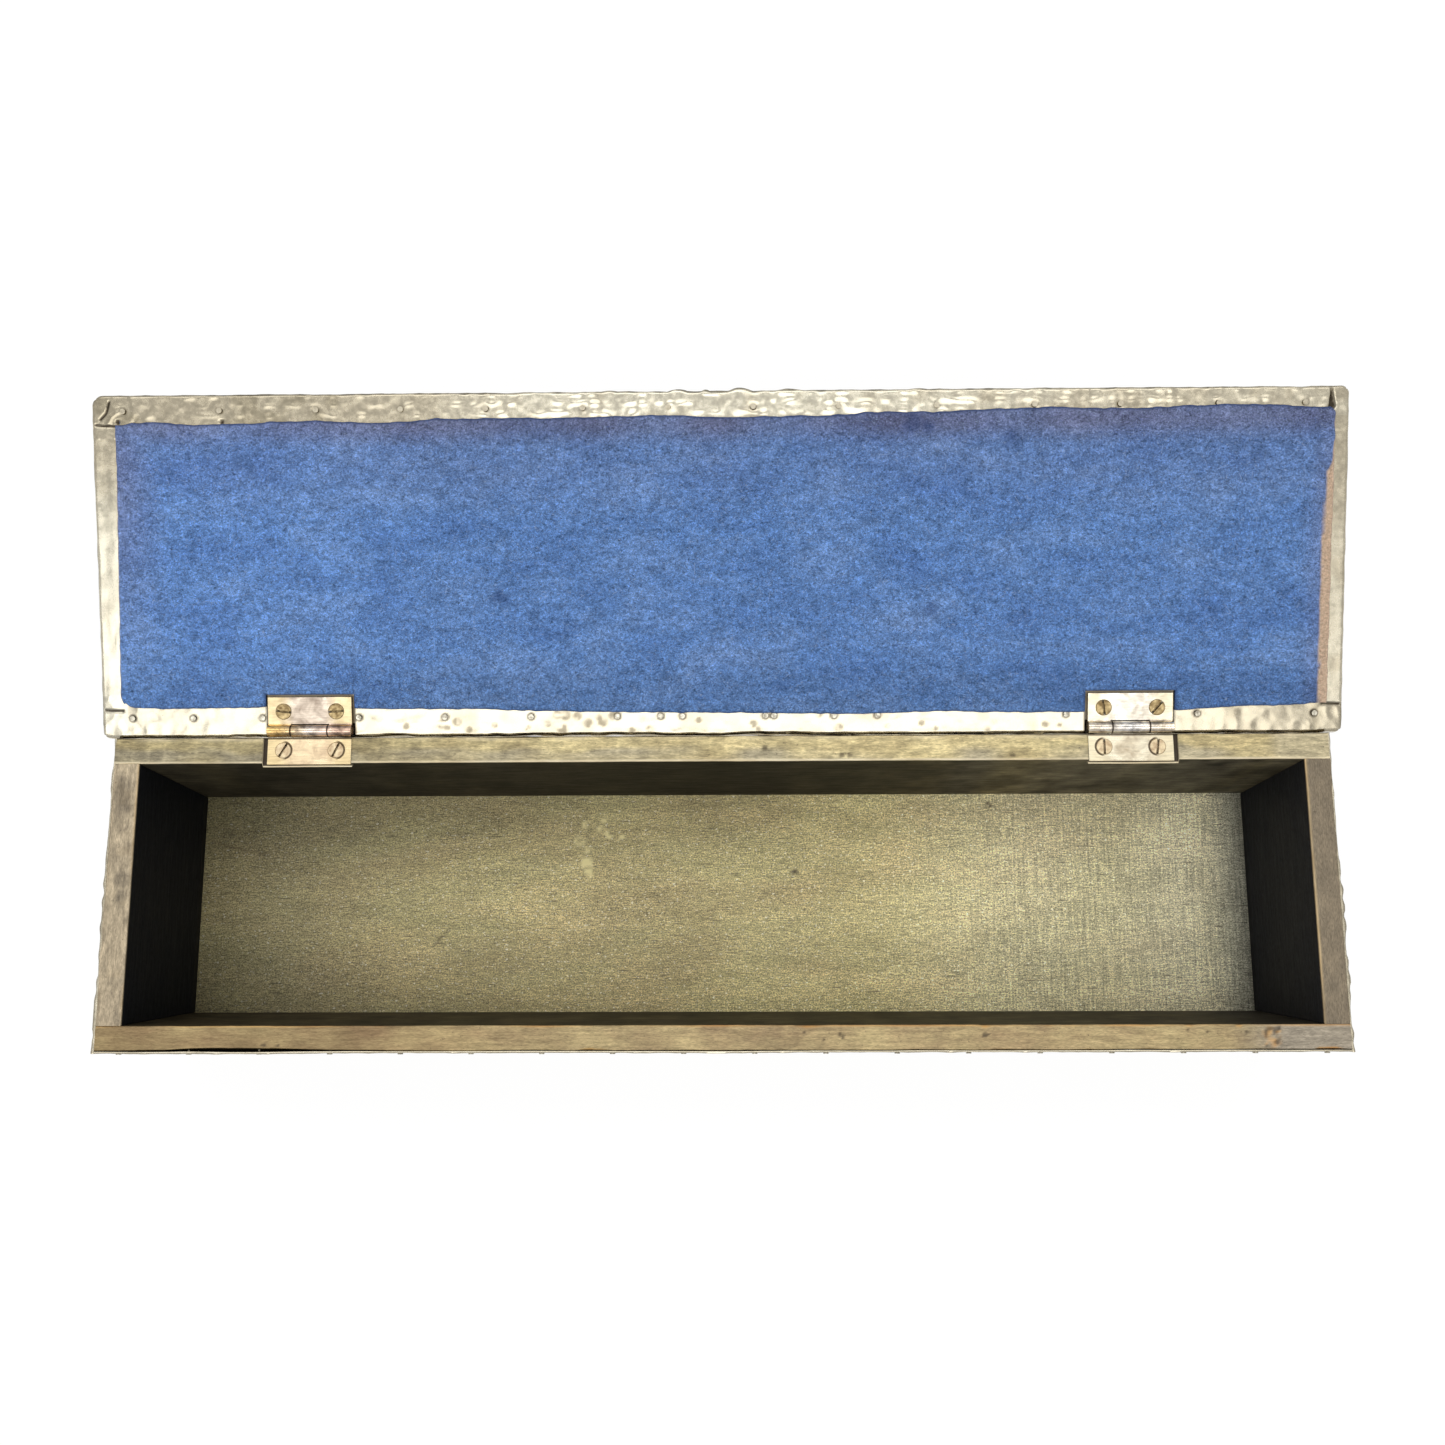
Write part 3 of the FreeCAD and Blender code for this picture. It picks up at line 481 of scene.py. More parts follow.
def felt_material():
    """Blue wool felt: matted fibres, purple where it has faded, tan where the nap has gone."""
    shader = Shader("wool_felt")
    clumps = shader.noise((0.75, 0.65, 0.7), detail=5, roughness=0.75, distortion=0.8)
    fibres = shader.noise((0.34, 0.26, 0.34), detail=3, roughness=0.7, distortion=1.2)
    matting = shader.noise((3.4, 2.4, 2.4), detail=3, roughness=0.6, distortion=0.6)
    clouds = shader.noise((30, 15, 15), detail=5, roughness=0.58, distortion=0.3)
    flecks = shader.noise((0.75, 0.5, 0.75), detail=2, roughness=0.6, distortion=1.6)
    wisps = shader.noise((2.6, 0.7, 0.7), detail=3, roughness=0.6, distortion=1.2)
    colour = shader.ramp(
        clouds,
        (0.3, (0.080, 0.170, 0.405)),
        (0.5, (0.103, 0.208, 0.455)),
        (0.72, (0.150, 0.260, 0.510)),
    )
    faded = shader.ramp(clouds, (0.3, (0.110, 0.125, 0.235)), (0.7, (0.175, 0.200, 0.340)))
    colour = shader.mix(shader.attribute("fade"), colour, faded)
    colour = shader.shade(colour, matting, 0.74, 1.26)
    colour = shader.mix(1.0, colour, shader.attribute("tone"), "MULTIPLY")
    colour = shader.shades(colour, (clumps, 0.34, 1.78), (fibres, 0.46, 1.58))
    colour = shader.mix(shader.fade(flecks, 0.58, 0.72, 0, 0.65), colour, (0.38, 0.49, 0.72))
    colour = shader.mix(shader.fade(wisps, 0.38, 0.27, 0, 0.7), colour, (0.030, 0.075, 0.26))
    # Darkens the stains, and paints shade along the felt's edges.
    colour = shader.mix(shader.attribute("mark"), colour, (0.020, 0.045, 0.150))
    backing = shader.ramp(fibres, (0.35, (0.48, 0.31, 0.21)), (0.65, (0.72, 0.56, 0.40)))
    backing = shader.shade(backing, clumps, 0.62, 1.36)
    colour = shader.mix(shader.attribute("backing"), colour, backing)
    height = shader.math("ADD", clumps, shader.math("MULTIPLY", fibres, 0.5))
    shader.set(
        Base_Color=colour,
        Roughness=0.95,
        Specular_IOR_Level=0.12,
        Sheen_Weight=0.2,
        Sheen_Roughness=0.5,
        Sheen_Tint=(0.55, 0.65, 0.9, 1),
        Normal=shader.bump(height, 0.4, 0.8),
    )
    return shader.material


def fibre_material():
    """Single wool hairs, from deep blue to pale."""
    shader = Shader("felt_hairs")
    strand = shader.attribute("strand")
    colour = shader.ramp(
        strand,
        (0.0, (0.03, 0.07, 0.22)),
        (0.55, (0.12, 0.23, 0.52)),
        (1.0, (0.50, 0.60, 0.80)),
    )
    streak = shader.noise((0.6, 0.6, 0.6), detail=2)
    light = shader.ramp(streak, (0.3, (0.35, 0.35, 0.35)), (0.7, (0.65, 0.65, 0.65)))
    colour = shader.mix(0.5, colour, light, "OVERLAY")
    shader.set(Base_Color=colour, Roughness=0.9, Specular_IOR_Level=0.15)
    return shader.material


KNUCKLE_RADIUS = 2.3
# The colour of painted shade on the hinges: in the knuckles' gaps and along their foot.
BRASS_SHADE = (0.030, 0.016, 0.008)


def knuckle_joints(side):
    """Where along the pin a hinge's middle knuckle, on the box's leaf, starts and stops."""
    points = node_points(f"{side}_hinge_body_leaf")
    knuckle = points[points[:, 2] > AXIS[2] + 1]
    return knuckle[:, 0].min(), knuckle[:, 0].max()


def knuckle_gap_shadows(shader, colour, along_pin, near, side):
    """Painted shade: dark lines in the gaps where a hinge's knuckles meet."""
    for joint in knuckle_joints(side):
        from_joint = shader.math("ABSOLUTE", shader.math("SUBTRACT", along_pin, float(joint * MM)))
        line = shader.fade(from_joint, 0.12 * MM, 0.38 * MM, 0.9, 0.0)
        colour = shader.mix(shader.math("MULTIPLY", line, near), colour, BRASS_SHADE)
    return colour


def half_ring_shadows(shader, colour, x, y, arcs):
    """Painted shadows: dark half rings round screw heads, on one side, each (x, y, radius, direction)."""
    for arc_x, arc_y, radius, direction in arcs:
        offset_x = shader.math("SUBTRACT", x, float(arc_x * MM))
        offset_y = shader.math("SUBTRACT", y, float(arc_y * MM))
        past_ring = shader.math("SUBTRACT", shader.reach(offset_x, offset_y), float(radius * MM))
        ring = shader.fade(shader.math("ABSOLUTE", past_ring), 0.18 * MM, 0.42 * MM, 0.9, 0.0)
        half = shader.fade(offset_x, -0.2 * radius * MM * direction, 0.4 * radius * MM * direction)
        colour = shader.mix(shader.math("MULTIPLY", ring, half), colour, (0.050, 0.026, 0.012))
    return colour


def brass_material(name, side, plate_colours, end_colour, knuckle_colours, arcs=()):
    """Worn hinge metal: pale plates, yellower at their ends, and knuckles that change colour along the pin,
    with painted shade in the knuckles' gaps, along their foot, round the screws and in crevices.

    arcs are painted shadows round the screw heads, dark half rings on the plate, each (x, y, radius,
    direction).
    """
    shader = Shader(name)
    patina = shader.noise((4.5, 4.5, 4.5), detail=5, roughness=0.62, distortion=0.5)
    scratch = shader.noise((4, 0.35, 0.35), detail=3, roughness=0.6)
    place = shader.add("ShaderNodeSeparateXYZ", {"Vector": shader.place}).outputs
    across = shader.math("SUBTRACT", place["Y"], float(AXIS[1] * MM))
    above = shader.math("SUBTRACT", place["Z"], float(AXIS[2] * MM))
    start = (HINGE_X[side] - HINGE_HALF) * MM
    end = (HINGE_X[side] + HINGE_HALF) * MM
    along = shader.fade(place["X"], float(start), float(end))
    ends = shader.math("ABSOLUTE", shader.math("SUBTRACT", along, 0.5))
    plate = shader.ramp(patina, (0.33, plate_colours[0]), (0.62, plate_colours[1]))
    plate = shader.mix(shader.fade(ends, 0.25, 0.5, 0, 0.7), plate, end_colour)
    knuckle = shader.ramp(along, *zip((0.05, 0.5, 0.95), knuckle_colours))
    knuckle = shader.shade(knuckle, patina, 0.35, 1.15, 0.38, 0.60)
    near = shader.fade(shader.reach(across, above), 1.9 * MM, 2.4 * MM, 1.0, 0.0)
    colour = shader.mix(near, plate, knuckle)
    colour = shader.shade(colour, scratch, 0.84, 1.1)
    colour = knuckle_gap_shadows(shader, colour, place["X"], near, side)
    # A painted shadow line on the plate along the foot of the knuckles.
    from_line = shader.math("ABSOLUTE", shader.math("ADD", across, KNUCKLE_RADIUS * MM))
    colour = shader.mix(shader.fade(from_line, 0.12 * MM, 0.4 * MM, 0.85, 0.0), colour, BRASS_SHADE)
    colour = half_ring_shadows(shader, colour, place["X"], place["Y"], arcs)
    # Painted shade in crevices, from ambient occlusion.
    colour = shader.mix(shader.crevice_shade(0.9), colour, (0.030, 0.014, 0.006))
    plate_roughness = shader.fade(patina, 0.3, 0.7, 0.42, 0.26)
    shader.set(
        Base_Color=colour,
        Metallic=1.0,
        Roughness=shader.math("MULTIPLY", plate_roughness, shader.fade(near, 0, 1, 1.0, 0.6)),
        Normal=shader.bump(scratch, 0.03, 0.5),
    )
    return shader.material


def metal_material(name, dark, light, feature_mm, roughness=(0.45, 0.28), dirt_and_shade=(0.025, 0.015, 0.008)):
    """Small plain metal pieces with a mottled patina, dirty and darkened with painted shade in their slots and
    round the edges of their heads.
    """
    shader = Shader(name)
    patina = shader.noise((feature_mm,) * 3, detail=4, roughness=0.6)
    colour = shader.ramp(patina, (0.35, dark), (0.65, light))
    shader.set(
        Base_Color=shader.mix(shader.crevice_shade(0.8), colour, dirt_and_shade),
        Metallic=1.0,
        Roughness=shader.fade(patina, 0.3, 0.7, *roughness),
        Normal=shader.bump(patina, 0.03, 0.5),
    )
    return shader.material


# The wooden walls

EDGE_FINE = (0, 0.12, 0.3, 0.55, 0.9, 1.4, 2.0)
ALONG_STEP = 0.8
ACROSS_STEP = 0.55
NUDGE = 0.004
ARRIS = 0.35
WEAR_REACH = 1.8
WEAR_SHARE = 0.7
OUTER_REACH = 2.2

FLOOR_LOW, FLOOR_HIGH = box_of("floor_board")
FRONT_LOW, FRONT_HIGH = box_of("front_wall")
WALL_TOP = FRONT_HIGH[2]
WALL_FOOT = FRONT_LOW[2]
HALF_WIDTH = -FRONT_LOW[1]
front_points = node_points("front_wall")
top_points = front_points[front_points[:, 2] > WALL_TOP - 0.01]
WALL_THICKNESS = top_points[:, 1].max() + HALF_WIDTH
WALL_SLOPE = FRONT_HIGH[1] + HALF_WIDTH - WALL_THICKNESS
# Room behind the sheets for their dents
DENT_ROOM = 0.3
MORTISE_FLOOR = AXIS[2] - (LID_LOW[2] - AXIS[2])
MORTISE_HALF = HINGE_HALF + 0.6
MORTISE_WIDE = 1.5
MORTISE_TIGHT = 0.15
MORTISE_LIP = 1.0
MORTISE_REACH = 2.6


def mortise_ends(side):
    """Where a hinge's mortise starts and stops: wide on the box's outer side, tight on the other."""
    outer = HINGE_HALF + MORTISE_WIDE
    inner = HINGE_HALF + MORTISE_TIGHT
    before, after = (outer, inner) if side == "left" else (inner, outer)
    return HINGE_X[side] - before, HINGE_X[side] + after


def wear_top(along, across, drop, thickness, seed, chips, arris):
    """How far a wall's top edges have worn, inner and outer, and where raw wood shows.

    arris says how much of the inner edge is rubbed raw: 0 for little, 1 for all of it.
    """
    inner = np.hypot(thickness - across, drop)
    outer = np.hypot(across, drop)
    rubbed = 0.10 + 0.10 * noise(along, 0, 9, seed) + 0.07 * noise(along, 0, 2.6, seed + 1)
    inner_chip = np.zeros_like(along)
    outer_chip = np.zeros_like(along)
    for place, half_length, depth, side in chips:
        reach = np.abs(along - place) / half_length
        bite = depth * np.clip(1.25 - reach, 0, 1) * (0.75 + 0.25 * noise(along, 0, 1.7, seed + 2))
        if side == "inner":
            inner_chip = np.maximum(inner_chip, bite)
        else:
            outer_chip = np.maximum(outer_chip, bite)
    inner_wear = (rubbed + inner_chip) * np.clip(1 - inner / WEAR_REACH, 0, 1) ** 1.5
    outer_wear = (rubbed + outer_chip) * np.clip(1 - outer / WEAR_REACH, 0, 1) ** 1.5
    line = np.clip(0.55 * noise(along, 3, 17, seed + 3) + arris, 0, 1) * np.clip(1.2 - inner / 0.6, 0, 1)
    bare = np.maximum(line, np.clip(2.2 * inner_wear - 0.25, 0, 1))
    bare = np.maximum(bare, np.clip(2.4 * outer_wear - 0.35, 0, 1))
    return inner_wear, outer_wear, np.clip(bare, 0, 1)


def wall_looks(along, across, drop, seed, looks, stained, worn):
    """A wall's colour attributes: rubbed tan on top, black stain down the sides, raw wood where worn."""
    top = 1 - ease(drop, 0.15, 0.9)
    tone, weather_and_sheen, bare, mark = looks(along, across)
    mottled = tone + 0.10 * noise(along, across, 22, seed) + 0.08 * noise(along, across, 4, seed + 1)
    smudges = 1 + 0.6 * noise(along, drop, 9, seed + 2) + 0.4 * noise(along, drop, 3, seed + 3)
    below = stained * np.clip(smudges, 0, 2)
    return {
        "tone": np.clip(top * mottled + (1 - top) * below, 0, 1),
        "weather_and_sheen": np.clip(weather_and_sheen, 0, 1) * np.ones_like(along),
        "bare": np.clip(np.maximum(worn, top * bare), 0, 1) * (drop < 3),
        "mark": top * mark * np.ones_like(along),
    }


def surface_undulation(along, across, seed):
    return 0.05 * noise(along, across, 16, seed) + 0.03 * noise(along, across, 5, seed + 1)


def wall_heights():
    """The heights of a wall's lattice, close together near its worn top."""
    near_top = np.array(sorted((*EDGE_FINE, 2.5), reverse=True))
    return np.concatenate([samples(WALL_FOOT, WALL_TOP - 3, 4.5), WALL_TOP - near_top])


def near_outside(across):
    """1 on a board's outer face, fading out a little way in."""
    return np.clip(1 - across / OUTER_REACH, 0, 1)


def wear_board(points, facing, across_axis, along, across, drop, thickness, seed, chips, arris):
    """Wear a board's top, stand its outer face back from the sheet's dents and say where raw wood shows."""
    inner_wear, outer_wear, bare = wear_top(along, across, drop, thickness, seed, chips, arris)
    points[:, across_axis] += WEAR_SHARE * (outer_wear - inner_wear)
    points[:, across_axis] += DENT_ROOM * near_outside(across) * ease(drop, 0.8, 2.5)
    points[:, 2] -= WEAR_SHARE * (inner_wear + outer_wear)
    on_top = facing[:, 2] > 0.9
    points[on_top, 2] += surface_undulation(along, across, seed + 5)[on_top] - 0.06
    return bare


def cut_mortises(points, along, across, drop, bare):
    """Cut the hinges' mortises into the back wall; gives the raw wood and the dark lines round the leaves,
    which are painted shade in the mortises.
    """
    line = np.interp(WALL_THICKNESS - across, (0.12, 0.3, 0.55), (0, 0.6, 1))
    joint = np.zeros_like(along)
    for side in HINGE_SIDES:
        start, end = mortise_ends(side)
        inside = (along > start) & (along < end)
        points[inside, 2] = np.minimum(points[inside, 2], MORTISE_FLOOR - 0.01)
        lip = inside & (across > WALL_THICKNESS - 0.6)
        points[lip, 1] += MORTISE_LIP * (1 - ease(drop[lip], 1.2, 3.0))
        bare = np.where(inside & (drop < MORTISE_REACH), 1.0, bare)
        joint = np.where(inside, line, joint)
    return bare, joint * (drop < MORTISE_REACH)


def add_long_wall(name, wall_side, material, seed, chips, arris, looks, stained, gap, mortised=False):
    """The front or back board, wall_side -1 or 1: straight outside, sloping inside, worn on top.

    looks gives the top's tone, weather, bare and mark along and across it; gap gives how far its outer
    edge stands back from the metal.
    """
    half_length = FRONT_HIGH[0]
    along_places = samples(-half_length, half_length, ALONG_STEP, EDGE_FINE)
    if mortised:
        ends = [end for side in HINGE_SIDES for end in mortise_ends(side)]
        steps = [end + nudge for end in ends for nudge in (-NUDGE, NUDGE)]
        along_places = np.unique(np.concatenate([along_places, steps]))
    across_places = samples(0, WALL_THICKNESS, ACROSS_STEP, EDGE_FINE)
    square, faces = lattice_shell(along_places, across_places, wall_heights())
    along, across, drop = square[:, 0], square[:, 1], WALL_TOP - square[:, 2]
    low = np.array([-half_length, 0, WALL_FOOT])
    high = np.array([half_length, WALL_THICKNESS, WALL_TOP])
    points, facing = rounded(square, low, high, ARRIS)
    bare = wear_board(points, facing, 1, along, across, drop, WALL_THICKNESS, seed, chips, arris)
    points[:, 1] += gap(along) * near_outside(across) * (1 - ease(drop, 1.0, 5.0))
    share_across = points[:, 1] / WALL_THICKNESS
    points[:, 1] += share_across * WALL_SLOPE * (WALL_TOP - points[:, 2]) / (WALL_TOP - WALL_FOOT)
    joint = np.zeros_like(along)
    if mortised:
        bare, joint = cut_mortises(points, along, across, drop, bare)
        faces = without_slivers(points, faces)
    points[:, 1] = wall_side * (HALF_WIDTH - points[:, 1])
    if wall_side > 0:
        faces = faces[:, ::-1]
    attributes = wall_looks(along, across, drop, seed + 7, looks, stained(along), bare)
    # The mortises' dark lines are painted shade.
    attributes["mark"] = np.maximum(attributes["mark"], joint)
    return add_piece(name, (points, faces), material, "box", (name,), attributes)


def add_end_wall(side, material, seed, chips, arris, looks, stained):
    """An end board between the long boards."""
    name = f"{side}_wall"
    low_corner, high_corner = box_of(name)
    direction = -1 if side == "left" else 1
    thickness = high_corner[0] - low_corner[0]
    half = HALF_WIDTH - WALL_THICKNESS
    along_places = samples(-half, half, ALONG_STEP, EDGE_FINE)
    across_places = samples(0, thickness, ACROSS_STEP, EDGE_FINE)
    square, faces = lattice_shell(across_places, along_places, wall_heights())
    along, across, drop = square[:, 1], square[:, 0], WALL_TOP - square[:, 2]
    low = np.array([0, -half, WALL_FOOT])
    high = np.array([thickness, half, WALL_TOP])
    points, facing = rounded(square, low, high, ARRIS * 0.6)
    bare = wear_board(points, facing, 0, along, across, drop, thickness, seed, chips, arris)
    narrowing = WALL_SLOPE * (WALL_TOP - points[:, 2]) / (WALL_TOP - WALL_FOOT)
    points[:, 1] *= 1 - narrowing / half
    outside = high_corner[0] if direction > 0 else low_corner[0]
    points[:, 0] = outside - direction * points[:, 0]
    if direction > 0:
        faces = faces[:, ::-1]
    attributes = wall_looks(along, across, drop, seed + 7, looks, stained, bare)
    return add_piece(name, (points, faces), material, "box", (name,), attributes)


# Marks on the floor: x, y, radius for the pale scuffs and the dark knots, and lists of places for the cracks
FLOOR_SCUFFS = [
    (-48.6, 20.5, 1.3), (-47.0, 17.0, 1.6), (-45.6, 13.2, 1.5), (-44.8, 10.0, 1.2), (-46.4, 26.0, 0.9),
    (-42.0, 25.0, 1.0), (-38.5, 22.6, 1.1), (-34.0, 21.5, 0.9), (-40.0, 28.0, 0.8),
]
FLOOR_KNOTS = [(24.7, 9.6, 0.9), (88.6, 32.6, 1.3), (90.6, 32.4, 1.0)]
FLOOR_CRACKS = [[(-173.4, 20.8), (-164, 18.4), (-153.4, 16.3)], [(-96, -13.5), (-91, -8.4)]]


def floor_light_and_tone(x, y):
    """How light the floor is: dark at the ends, partly painted shade by the end walls; darker along the front
    and back walls but lighter near the front, painted shade and light; worn lighter towards the right, with a
    painted sheen there too.
    """
    lengthwise = np.interp(
        x,
        (-177, -150, -110, -60, 0, 40, 75, 110, 140, 160, 166, 171, 177),
        (0.46, 0.57, 0.88, 1.07, 1.0, 1.20, 1.32, 1.32, 1.26, 1.28, 0.98, 0.6, 0.22),
    )
    crosswise = np.interp(y, (-36, -28, -10, 12, 28, 36), (0.80, 0.92, 1.08, 1.08, 0.94, 0.86))
    front_gain = np.interp(x, (-177, -60, 0, 60, 177), (0.04, 0.12, 0.42, 0.48, 0.35))
    rear_gain = np.interp(x, (-177, -100, -30, 60, 177), (-0.05, -0.2, 0.0, 0.28, 0.25))
    crosswise = crosswise * (1 + front_gain * ease(-y, 14, 33) + rear_gain * ease(y, 4, 26))
    return lengthwise * crosswise * (1 + 0.08 * noise(x, y, 34, 45))


def add_floor(material):
    """The bottom board, gently hollowed and scratched inside."""
    inset = np.array([DENT_ROOM, DENT_ROOM, 0])
    low, high = FLOOR_LOW + inset, FLOOR_HIGH - inset
    xs = samples(low[0], high[0], 0.9, (0, 0.3, 0.8))
    ys = samples(low[1], high[1], 0.6, (0, 0.3, 0.8))
    zs = samples(low[2], high[2], 2.0, (0, 0.4))
    points, faces = lattice_shell(xs, ys, zs)
    points, facing = rounded(points, low, high, 0.3)
    x, y = points[:, 0], points[:, 1]
    top = facing[:, 2] > 0.9
    planing = 0.035 * np.sin(2 * math.pi * (x + 0.6 * noise(x, y, 30, 41)) / 4.7)
    dips = 0.08 * noise(x, y, 24, 42) + planing
    points[top, 2] += np.minimum(dips, 0)[top] - 0.02
    scuffed = spots(x, y, FLOOR_SCUFFS, 0.8) * np.clip(1.6 * noise(x, y, 1.3, 43) + 0.5, 0, 1)
    knotty = spots(x, y, FLOOR_KNOTS, 0.9) * patchy(x, y, 1.1, 44, 0.4)
    attributes = {
        # tone holds painted shade and light as well as the wood's tone.
        "tone": floor_light_and_tone(x, y),
        # On the floor the greying towards the right is a painted sheen.
        "weather_and_sheen": 0.28 * ease(x, 40, 110) + 0.2 * ease(x, 125, 160) + 0.4 * ease(x, 160, 177),
        "comb": 0.12 + 0.88 * ease(x, 40, 120),
        "bare": np.where(top, scuffed, 0),
        "mark": np.where(top, np.maximum(knotty, 0.5 * creases(x, y, FLOOR_CRACKS, 0.7)), 0),
    }
    name = "floor_board"
    return add_piece(name, (points, faces), material, "box", (name,), attributes)


# The metal sheets of the box

SHEET_FINE = (0, 0.1, 0.3, 0.7, 1.2)
DENT_SPACING = 4.4
DENT_DEPTH = 0.24


def outside_tone(u, v, dents, seed):
    """Hammered metal rubbed bright on the ridges and left dull in the dents; the lighter ridges and darker
    dents are also painted light and shade that show the hammering.
    """
    return 0.35 + 0.15 * noise(u, v, 30, seed) + 0.1 * noise(u, v, 2.5, seed + 1) + 0.3 * (1 + dents)


# Darkest in the middles of the deepest dents: painted shade, with some dark patina.
def dent_shade_and_patina(dents):
    return 0.2 * np.clip(-dents - 0.45, 0, 1)


def add_sheet(name, across_axis, direction, material, seed, bulge, lip, dirt_and_shade):
    """A hammered sheet on one side of the box.

    bulge gives how far its top edge stands off the wood, and lip how far the edge is turned in again.
    """
    low, high = box_of(name)
    along_axis = 1 - across_axis
    axes = [None, None, None]
    axes[along_axis] = samples(low[along_axis], high[along_axis], 0.9, SHEET_FINE)
    axes[across_axis] = np.linspace(low[across_axis], high[across_axis], 3)
    axes[2] = samples(low[2], high[2], 0.9, SHEET_FINE)
    square, faces = lattice_shell(*axes)
    points, facing = rounded(square, low, high, (high[across_axis] - low[across_axis]) / 2.2)
    along, up = square[:, along_axis], square[:, 2]
    outer = facing[:, across_axis] * direction > 0.5
    dents = hammer_marks(along, up, DENT_SPACING, seed)
    points[outer, across_axis] += direction * (DENT_DEPTH * dents)[outer]
    drop = high[2] - up
    inner_share = (1 - facing[:, across_axis] * direction) / 2
    points[:, across_axis] += direction * (bulge(along, drop) - inner_share * lip(along, drop))
    points[:, 2] -= 0.25 * np.clip(noise(along, 1, 7, seed + 3), 0, 1) * np.clip(1 - drop / 1.5, 0, 1)
    attributes = {
        "tone": outside_tone(along, up, dents, seed + 4),
        # Darkening: painted shade in the dents, darker towards the bottom, and, for the back sheet, a painted
        # shadow along the top edge.
        "grime_and_shade": np.maximum(dent_shade_and_patina(dents) + 0.25 * ease(drop, 62, 66), dirt_and_shade(along, drop)),
        "beat": np.where(outer, dents, 0),
    }
    return add_piece(name, (points, faces), material, "box", (name,), attributes)


# The lid

FOLD = 0.9
REAR_BULGE = 0.8
BORDER_FINE_X = tuple(np.arange(0, 13.01, 0.3))
BORDER_FINE_Y = tuple(np.arange(0, 14.01, 0.35))
BORDER_REACH = 13
RECESS_REACH = 4.1
RECESS_RISE = 2.1
LID_CORNER_RADII = {
    ("left", "front"): 3.6, ("right", "front"): 2.6, ("left", "rear"): 1.6, ("right", "rear"): 1.8,
}

# Marks on the folded border. Each place is (x from the lid's left end, y from the lid's front edge).
LID_LENGTH = LID_HIGH[0] - LID_LOW[0]
LID_DEPTH = LID_HIGH[1] - LID_LOW[1]
SEAMS = [
    [(1.2, 9.0), (4.0, 9.3), (7.0, 9.4)],
    [(5.4, 2.2), (5.0, 4.0), (4.4, 5.6), (2.6, 7.4)],
    [(0.9, LID_DEPTH - 8.4), (6.4, LID_DEPTH - 8.2)],
    [(LID_LENGTH - 6.2, LID_DEPTH - 8.8), (LID_LENGTH - 0.9, LID_DEPTH - 8.6)],
]
RIDGES = [
    [(5.0, 8.4), (6.0, 6.6), (7.6, 5.4), (9.2, 4.8)],
    [(12.2, 1.2), (12.8, 3.6), (12.9, 5.6), (12.2, 7.4)],
]
# Bumps that stand out from the front edge: x, half length, height.
FRONT_BUMPS = [
    (-11.6, 3.0, 0.7), (-3.3, 1.2, 0.4), (7.2, 3.6, 0.95), (-32, 2.4, 0.3), (22, 4.0, 0.35), (60, 3.0, 0.3),
]
DIMPLES = [(7.8, 8.2, 0.55), (39.2, 8.3, 0.55)]
# Dull spots on the rear border: x, distance from the lid's rear edge, radius.
REAR_SPOTS = [
    (-95, 3.2, 0.8), (-84.1, 3.7, 1.1), (-82.5, 2.6, 0.7), (-79.5, 4.4, 1.0), (-76, 2.0, 0.8),
    (-68, 3.4, 0.7), (-58, 2.4, 0.7), (-51.8, 3.7, 0.8), (-49, 6.4, 1.0), (-47.2, 1.8, 1.3),
    (-46.4, 6.3, 1.2), (-42.8, 6.0, 1.0), (-39.6, 3.9, 1.1), (-36.4, 5.6, 0.8), (-35.1, 4.1, 1.1),
    (-31.9, 6.0, 1.1), (-26.4, 1.5, 0.8), (-20.8, 1.9, 0.9), (-6, 4.6, 0.7), (10.6, 3.4, 0.9),
    (12.4, 1.8, 0.8), (30.5, 6.2, 0.8), (36.5, 2.0, 1.0), (51.3, 2.5, 0.6), (61.5, 3.4, 0.7),
    (65.6, 1.7, 0.6), (81.4, 1.6, 0.8), (98.8, 2.9, 0.8), (103, 2.4, 0.6),
]
SLIT = [(LID_LENGTH - 5.4, 0.7), (LID_LENGTH - 5.2, 6.0)]


# How dark the rings of dirty metal and painted shade are round each row of the lid's pins
PIN_RINGS = {"lid_front_pins": 0.25, "lid_rear_pins": 0.8}


def lid_margins(x, y):
    """Distances from the shut lid's left end, front edge and rear edge."""
    return x - LID_LOW[0], y - LID_LOW[1], LID_HIGH[1] - y


def lid_lattice():
    """The lid shell's lattice, close together in the border and split at the knuckles' recesses."""
    ends = [HINGE_X[side] + end * MORTISE_HALF for side in HINGE_SIDES for end in (-1, 1)]
    steps_x = [end + nudge for end in ends for nudge in (-NUDGE, NUDGE)]
    steps_y = [LID_HIGH[1] - RECESS_REACH + nudge for nudge in (-NUDGE, NUDGE)]
    xs = np.unique(np.concatenate([samples(LID_LOW[0], LID_HIGH[0], 0.6, BORDER_FINE_X), steps_x]))
    ys = np.unique(np.concatenate([samples(LID_LOW[1], LID_HIGH[1], 2.2, BORDER_FINE_Y), steps_y]))
    zs = samples(LID_LOW[2], LID_HIGH[2], 0.9, (0, 0.25, 0.6, 1.0))
    return lattice_shell(xs, ys, zs)


def lid_dents(square, facing):
    """The hammering of the lid's top, ends and long edges."""
    x, y, z = square.T
    at_ends = np.abs(facing[:, 0]) > 0.5
    dents = np.where(at_ends, hammer_marks(y, z, DENT_SPACING, 61), hammer_marks(x, z, DENT_SPACING, 62))
    return np.where(facing[:, 2] > 0.5, hammer_marks(x, y, DENT_SPACING, 63), dents)


def slit_share(u, v):
    """1 in the open fold at the right front corner, which widens as it goes."""
    reach, along = segment_reach(u, v, *SLIT)
    return np.clip((0.35 + 0.85 * along - reach) / 0.3, 0, 1)


def dull_spots(x, y):
    return spots(x, LID_HIGH[1] - y, REAR_SPOTS, 0.6) * patchy(x, y, 1.2, 74, 0.75)


